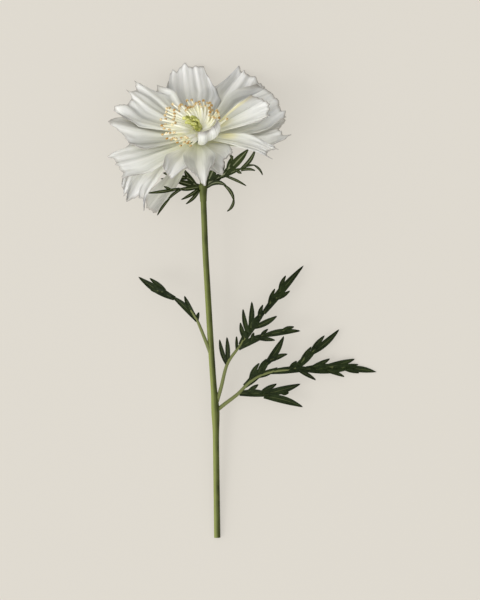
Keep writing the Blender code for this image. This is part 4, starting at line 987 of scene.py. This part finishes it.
def stamen_group():
    """A ring of bent filaments and their anthers, in millimetres, about the bloom's axis."""
    group = bpy.data.node_groups.new("stamens", "GeometryNodeTree")
    for name, value in STAMEN_VALUES.items():
        kind = "NodeSocketInt" if isinstance(value, int) else "NodeSocketFloat"
        group.interface.new_socket(name, in_out="INPUT", socket_type=kind)
    for name in ("Filament Finish", "Anther Finish"):
        group.interface.new_socket(name, in_out="INPUT", socket_type="NodeSocketMaterial")
    group.interface.new_socket("Stamens", in_out="OUTPUT", socket_type="NodeSocketGeometry")
    given = group.nodes.new("NodeGroupInput").outputs

    def node(kind, wired, **settings):
        return new_node(group, kind, wired, **settings)

    def calc(operation, *values):
        return node("ShaderNodeMath", dict(enumerate(values)), operation=operation)[0]

    def draw(limits, shift):
        return node("FunctionNodeRandomValue", {
            "Min": limits[0], "Max": limits[1], "Seed": calc("ADD", given["Seed"], shift)},
            data_type="FLOAT")["Value"]

    def vector(x, y, z):
        return node("ShaderNodeCombineXYZ", {"X": x, "Y": y, "Z": z})[0]

    index = node("GeometryNodeInputIndex", {})[0]
    inner = calc("MODULO", index, 2.0)
    turn = calc("DIVIDE", calc("ADD", index, draw(TURN_DRAW, 1.0)), given["Count"])
    azimuth = calc("MULTIPLY", turn, 2.0 * math.pi)
    cosine, sine = calc("COSINE", azimuth), calc("SINE", azimuth)
    reach = calc("MULTIPLY", given["Spread"], calc(
        "SUBTRACT", draw(REACH_DRAW, 2.0), calc("MULTIPLY", inner, draw(INNER_REACH_DRAW, 3.0))))
    rise = calc("ADD", calc("ADD", given["Rise"], draw(RISE_DRAW, 4.0)), calc("MULTIPLY", inner, INNER_RISE))
    from_axis = calc("ADD", given["Root Radius"], draw(ROOT_DRAW, 5.0))
    root = vector(calc("MULTIPLY", cosine, from_axis), calc("MULTIPLY", sine, from_axis),
                  given["Root Height"])
    tip = vector(calc("ADD", calc("MULTIPLY", cosine, reach), given["Ring Shift"]),
                 calc("MULTIPLY", sine, reach), rise)
    run = node("ShaderNodeVectorMath", {0: tip, 1: root}, operation="SUBTRACT")["Vector"]
    length = node("ShaderNodeVectorMath", {0: run}, operation="LENGTH")["Value"]
    turned = node("FunctionNodeAlignRotationToVector", {"Vector": run}, axis="Z")["Rotation"]
    past_gap = calc("FLOORED_MODULO", calc("SUBTRACT", azimuth, given["Gap Start"]), 2.0 * math.pi)
    standing = calc("GREATER_THAN", past_gap, given["Gap Width"])
    row = node("GeometryNodeMeshLine", {"Count": given["Count"], "Offset": (0.0, 0.0, 0.0)})["Mesh"]
    roots = node("GeometryNodeSetPosition", {"Geometry": row, "Position": root})["Geometry"]
    tips = node("GeometryNodeSetPosition", {"Geometry": row, "Position": tip})["Geometry"]

    share = node("GeometryNodeSplineParameter", {})["Factor"]
    line = node("GeometryNodeCurvePrimitiveLine", {"End": (0.0, 0.0, 1.0)})["Curve"]
    line = node("GeometryNodeResampleCurve", {"Curve": line, "Count": FILAMENT_RINGS})["Curve"]
    narrowed = node("ShaderNodeMapRange", {
        "Value": share, "To Min": given["Base Width"], "To Max": given["Tip Width"]})["Result"]
    outline = node("GeometryNodeCurvePrimitiveCircle", {"Resolution": FILAMENT_SIDES, "Radius": 1.0})["Curve"]
    filament = node("GeometryNodeCurveToMesh", {
        "Curve": line, "Profile Curve": outline, "Scale": narrowed, "Fill Caps": True})["Mesh"]
    height = node("ShaderNodeSeparateXYZ", {0: node("GeometryNodeInputPosition", {})[0]})["Z"]
    bend = calc("MULTIPLY", calc("SINE", calc("MULTIPLY", height, math.pi)), given["Bend"])
    filament = node("GeometryNodeSetPosition", {
        "Geometry": filament, "Offset": vector(bend, 0.0, 0.0)})["Geometry"]
    lobes = node("GeometryNodeJoinGeometry", {})
    anther_lobe = node("GeometryNodeMeshUVSphere", {
        "Segments": ANTHER_SIDES, "Rings": ANTHER_RINGS, "Radius": 1.0})["Mesh"]
    for side in (-LOBE_SHIFT, LOBE_SHIFT):
        offset = vector(calc("MULTIPLY", given["Anther Width"], side), 0.0, 0.0)
        size = vector(given["Anther Width"], given["Anther Width"], given["Anther Length"])
        lobe = node("GeometryNodeTransform", {"Geometry": anther_lobe, "Translation": offset, "Scale": size})
        group.links.new(lobe["Geometry"], lobes[0].node.inputs[0])

    finished = node("GeometryNodeJoinGeometry", {})
    for points, shape, size, finish in (
            (roots, filament, vector(1.0, 1.0, length), "Filament Finish"),
            (tips, lobes[0], vector(1.0, 1.0, draw(ANTHER_DRAW, 6.0)), "Anther Finish")):
        set_out = node("GeometryNodeInstanceOnPoints", {
            "Points": points, "Selection": standing, "Instance": shape, "Rotation": turned, "Scale": size})
        real = node("GeometryNodeRealizeInstances", {"Geometry": set_out["Instances"]})["Geometry"]
        real = node("GeometryNodeSetMaterial", {"Geometry": real, "Material": given[finish]})["Geometry"]
        group.links.new(real, finished[0].node.inputs[0])
    group.links.new(finished[0], group.nodes.new("NodeGroupOutput").inputs["Stamens"])
    return group


filament_cream = toned_finish("filament cream", speck_tones, roughness=0.5, specular=0.3, soft=0.1, values={
    "First": (0.94, 0.92, 0.68), "Second": (0.98, 0.97, 0.84),
    "Scale": 300.0, "Low": 0.4, "High": 0.6})
anther_brown = toned_finish("anther brown", speck_tones, roughness=0.6, specular=0.3, soft=0.2, values={
    "First": (0.44, 0.24, 0.05), "Second": (0.88, 0.76, 0.46),
    "Scale": 600.0, "Low": 0.42, "High": 0.62})
stamens = add_object("stamen_ring", bpy.data.meshes.new("stamen seed"))
grow = stamens.modifiers.new("stamens", "NODES")
grow.node_group = stamen_group()
stamen_inputs = {item.name: item.identifier for item in grow.node_group.interface.items_tree
                 if item.in_out == "INPUT"}
for input_name, input_value in STAMEN_VALUES.items():
    grow[stamen_inputs[input_name]] = input_value
grow[stamen_inputs["Filament Finish"]] = filament_cream
grow[stamen_inputs["Anther Finish"]] = anther_brown
settle(stamens, STAMEN_TURN)
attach(stamens, "root")
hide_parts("stamens")

cushion_shape = bmesh.new()
cushion_shape.loops.layers.uv.new("run")
cushion_steps = ((CUSHION_BOTTOM, CUSHION_RADIUS - 0.2), (CUSHION_BOTTOM + 0.2, CUSHION_RADIUS),
                 (CUSHION_TOP - 0.45, CUSHION_RADIUS), (CUSHION_TOP - 0.2, CUSHION_RADIUS - 0.15),
                 (CUSHION_TOP - 0.05, CUSHION_RADIUS - 0.45), (CUSHION_TOP, CUSHION_RADIUS - 0.8))
swept(cushion_shape, [BLOOM_CENTRE + FACE * height for height, _ in cushion_steps],
      lambda number, angle: cushion_steps[number][1], CUSHION_SIDES)
cushion = placed("stamen_cushion", cushion_shape, filament_cream)
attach(cushion, "root")
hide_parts("stamens")


# Pistil. A ribbed green ovary with a tuft of styles that lean to the left. The styles are twisted and
# curl over at their grainy yellow-green tips.
OVARY_BOTTOM = 5.0
OVARY_RADIUS = 1.5
OVARY_HEIGHT = 2.6
OVARY_RIBS = 6
OVARY_RIB_DEPTH = 0.05
STYLE_COUNT = 6
STYLE_TOP = 11.0
STYLE_SPREAD = 1.9
STYLE_LEAN = -2.2
STYLE_RADIUS = 0.48
STYLE_RINGS = 40
STYLE_SIDES = 14
OVARY_SIDES = 48
STYLE_CURL = 1.1
CURL_START = 0.72
CURL_DROP = 0.35
STYLE_TWIST = 0.3
TWIST_TURN = 5.0
TIP_START = 0.93
GRAIN = 0.22
GRAIN_WAVES = 2.6

pistil_green = toned_finish("pistil green", speck_tones, roughness=0.5, specular=0.3, soft=0.3, values={
    "First": (0.26, 0.28, 0.04), "Second": (0.74, 0.74, 0.28),
    "Scale": 700.0, "Low": 0.4, "High": 0.6})
ovary_steps = ((0.0, 0.72), (0.06, 0.82), (0.2, 0.95), (0.42, 1.0), (0.62, 0.95), (0.78, 0.84), (0.9, 0.66),
               (0.97, 0.48))
pistil_shape = bmesh.new()
pistil_shape.loops.layers.uv.new("run")
swept(pistil_shape, [BLOOM_CENTRE + FACE * (OVARY_BOTTOM + OVARY_HEIGHT * share) for share, _ in ovary_steps],
      lambda number, angle: OVARY_RADIUS * ovary_steps[number][1] * (
          1.0 - OVARY_RIB_DEPTH * (1.0 - math.cos(OVARY_RIBS * angle))), OVARY_SIDES)
for style_number in range(STYLE_COUNT):
    style_azimuth = 2.0 * math.pi * style_number / STYLE_COUNT
    style_root = in_bloom(OVARY_RADIUS * 0.4, style_azimuth, OVARY_BOTTOM + OVARY_HEIGHT * 0.6)
    style_tip = in_bloom(STYLE_SPREAD, style_azimuth, STYLE_TOP - 0.5 * (style_number % 3))
    style_tip += SIDE * STYLE_LEAN
    style_points = []
    for step in range(STYLE_RINGS):
        share = step / (STYLE_RINGS - 1)
        twist = STYLE_TWIST * math.sin(TWIST_TURN * share + style_number)
        curl = STYLE_CURL * smooth_step((share - CURL_START) / (1.0 - CURL_START))
        point = style_root.lerp(style_tip, share) + REAR * twist * share
        style_points.append(point - SIDE * curl - FACE * curl * CURL_DROP * share)

    def style_radius(number, angle):
        share = number / (STYLE_RINGS - 1)
        grain = noise.noise(style_points[number] * GRAIN_WAVES + Vector((angle, 0.0, style_number)))
        rounded = math.sqrt(max(1.0 - smooth_step((share - TIP_START) / (1.0 - TIP_START)) ** 2, 0.04))
        return (STYLE_RADIUS * (0.8 + 0.35 * share) + GRAIN * grain * (0.3 + share)) * rounded

    swept(pistil_shape, style_points, style_radius, STYLE_SIDES)
pistil = placed("pistil_tuft", pistil_shape, pistil_green, math.radians(80.0))
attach(pistil, "root")
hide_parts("pistil")
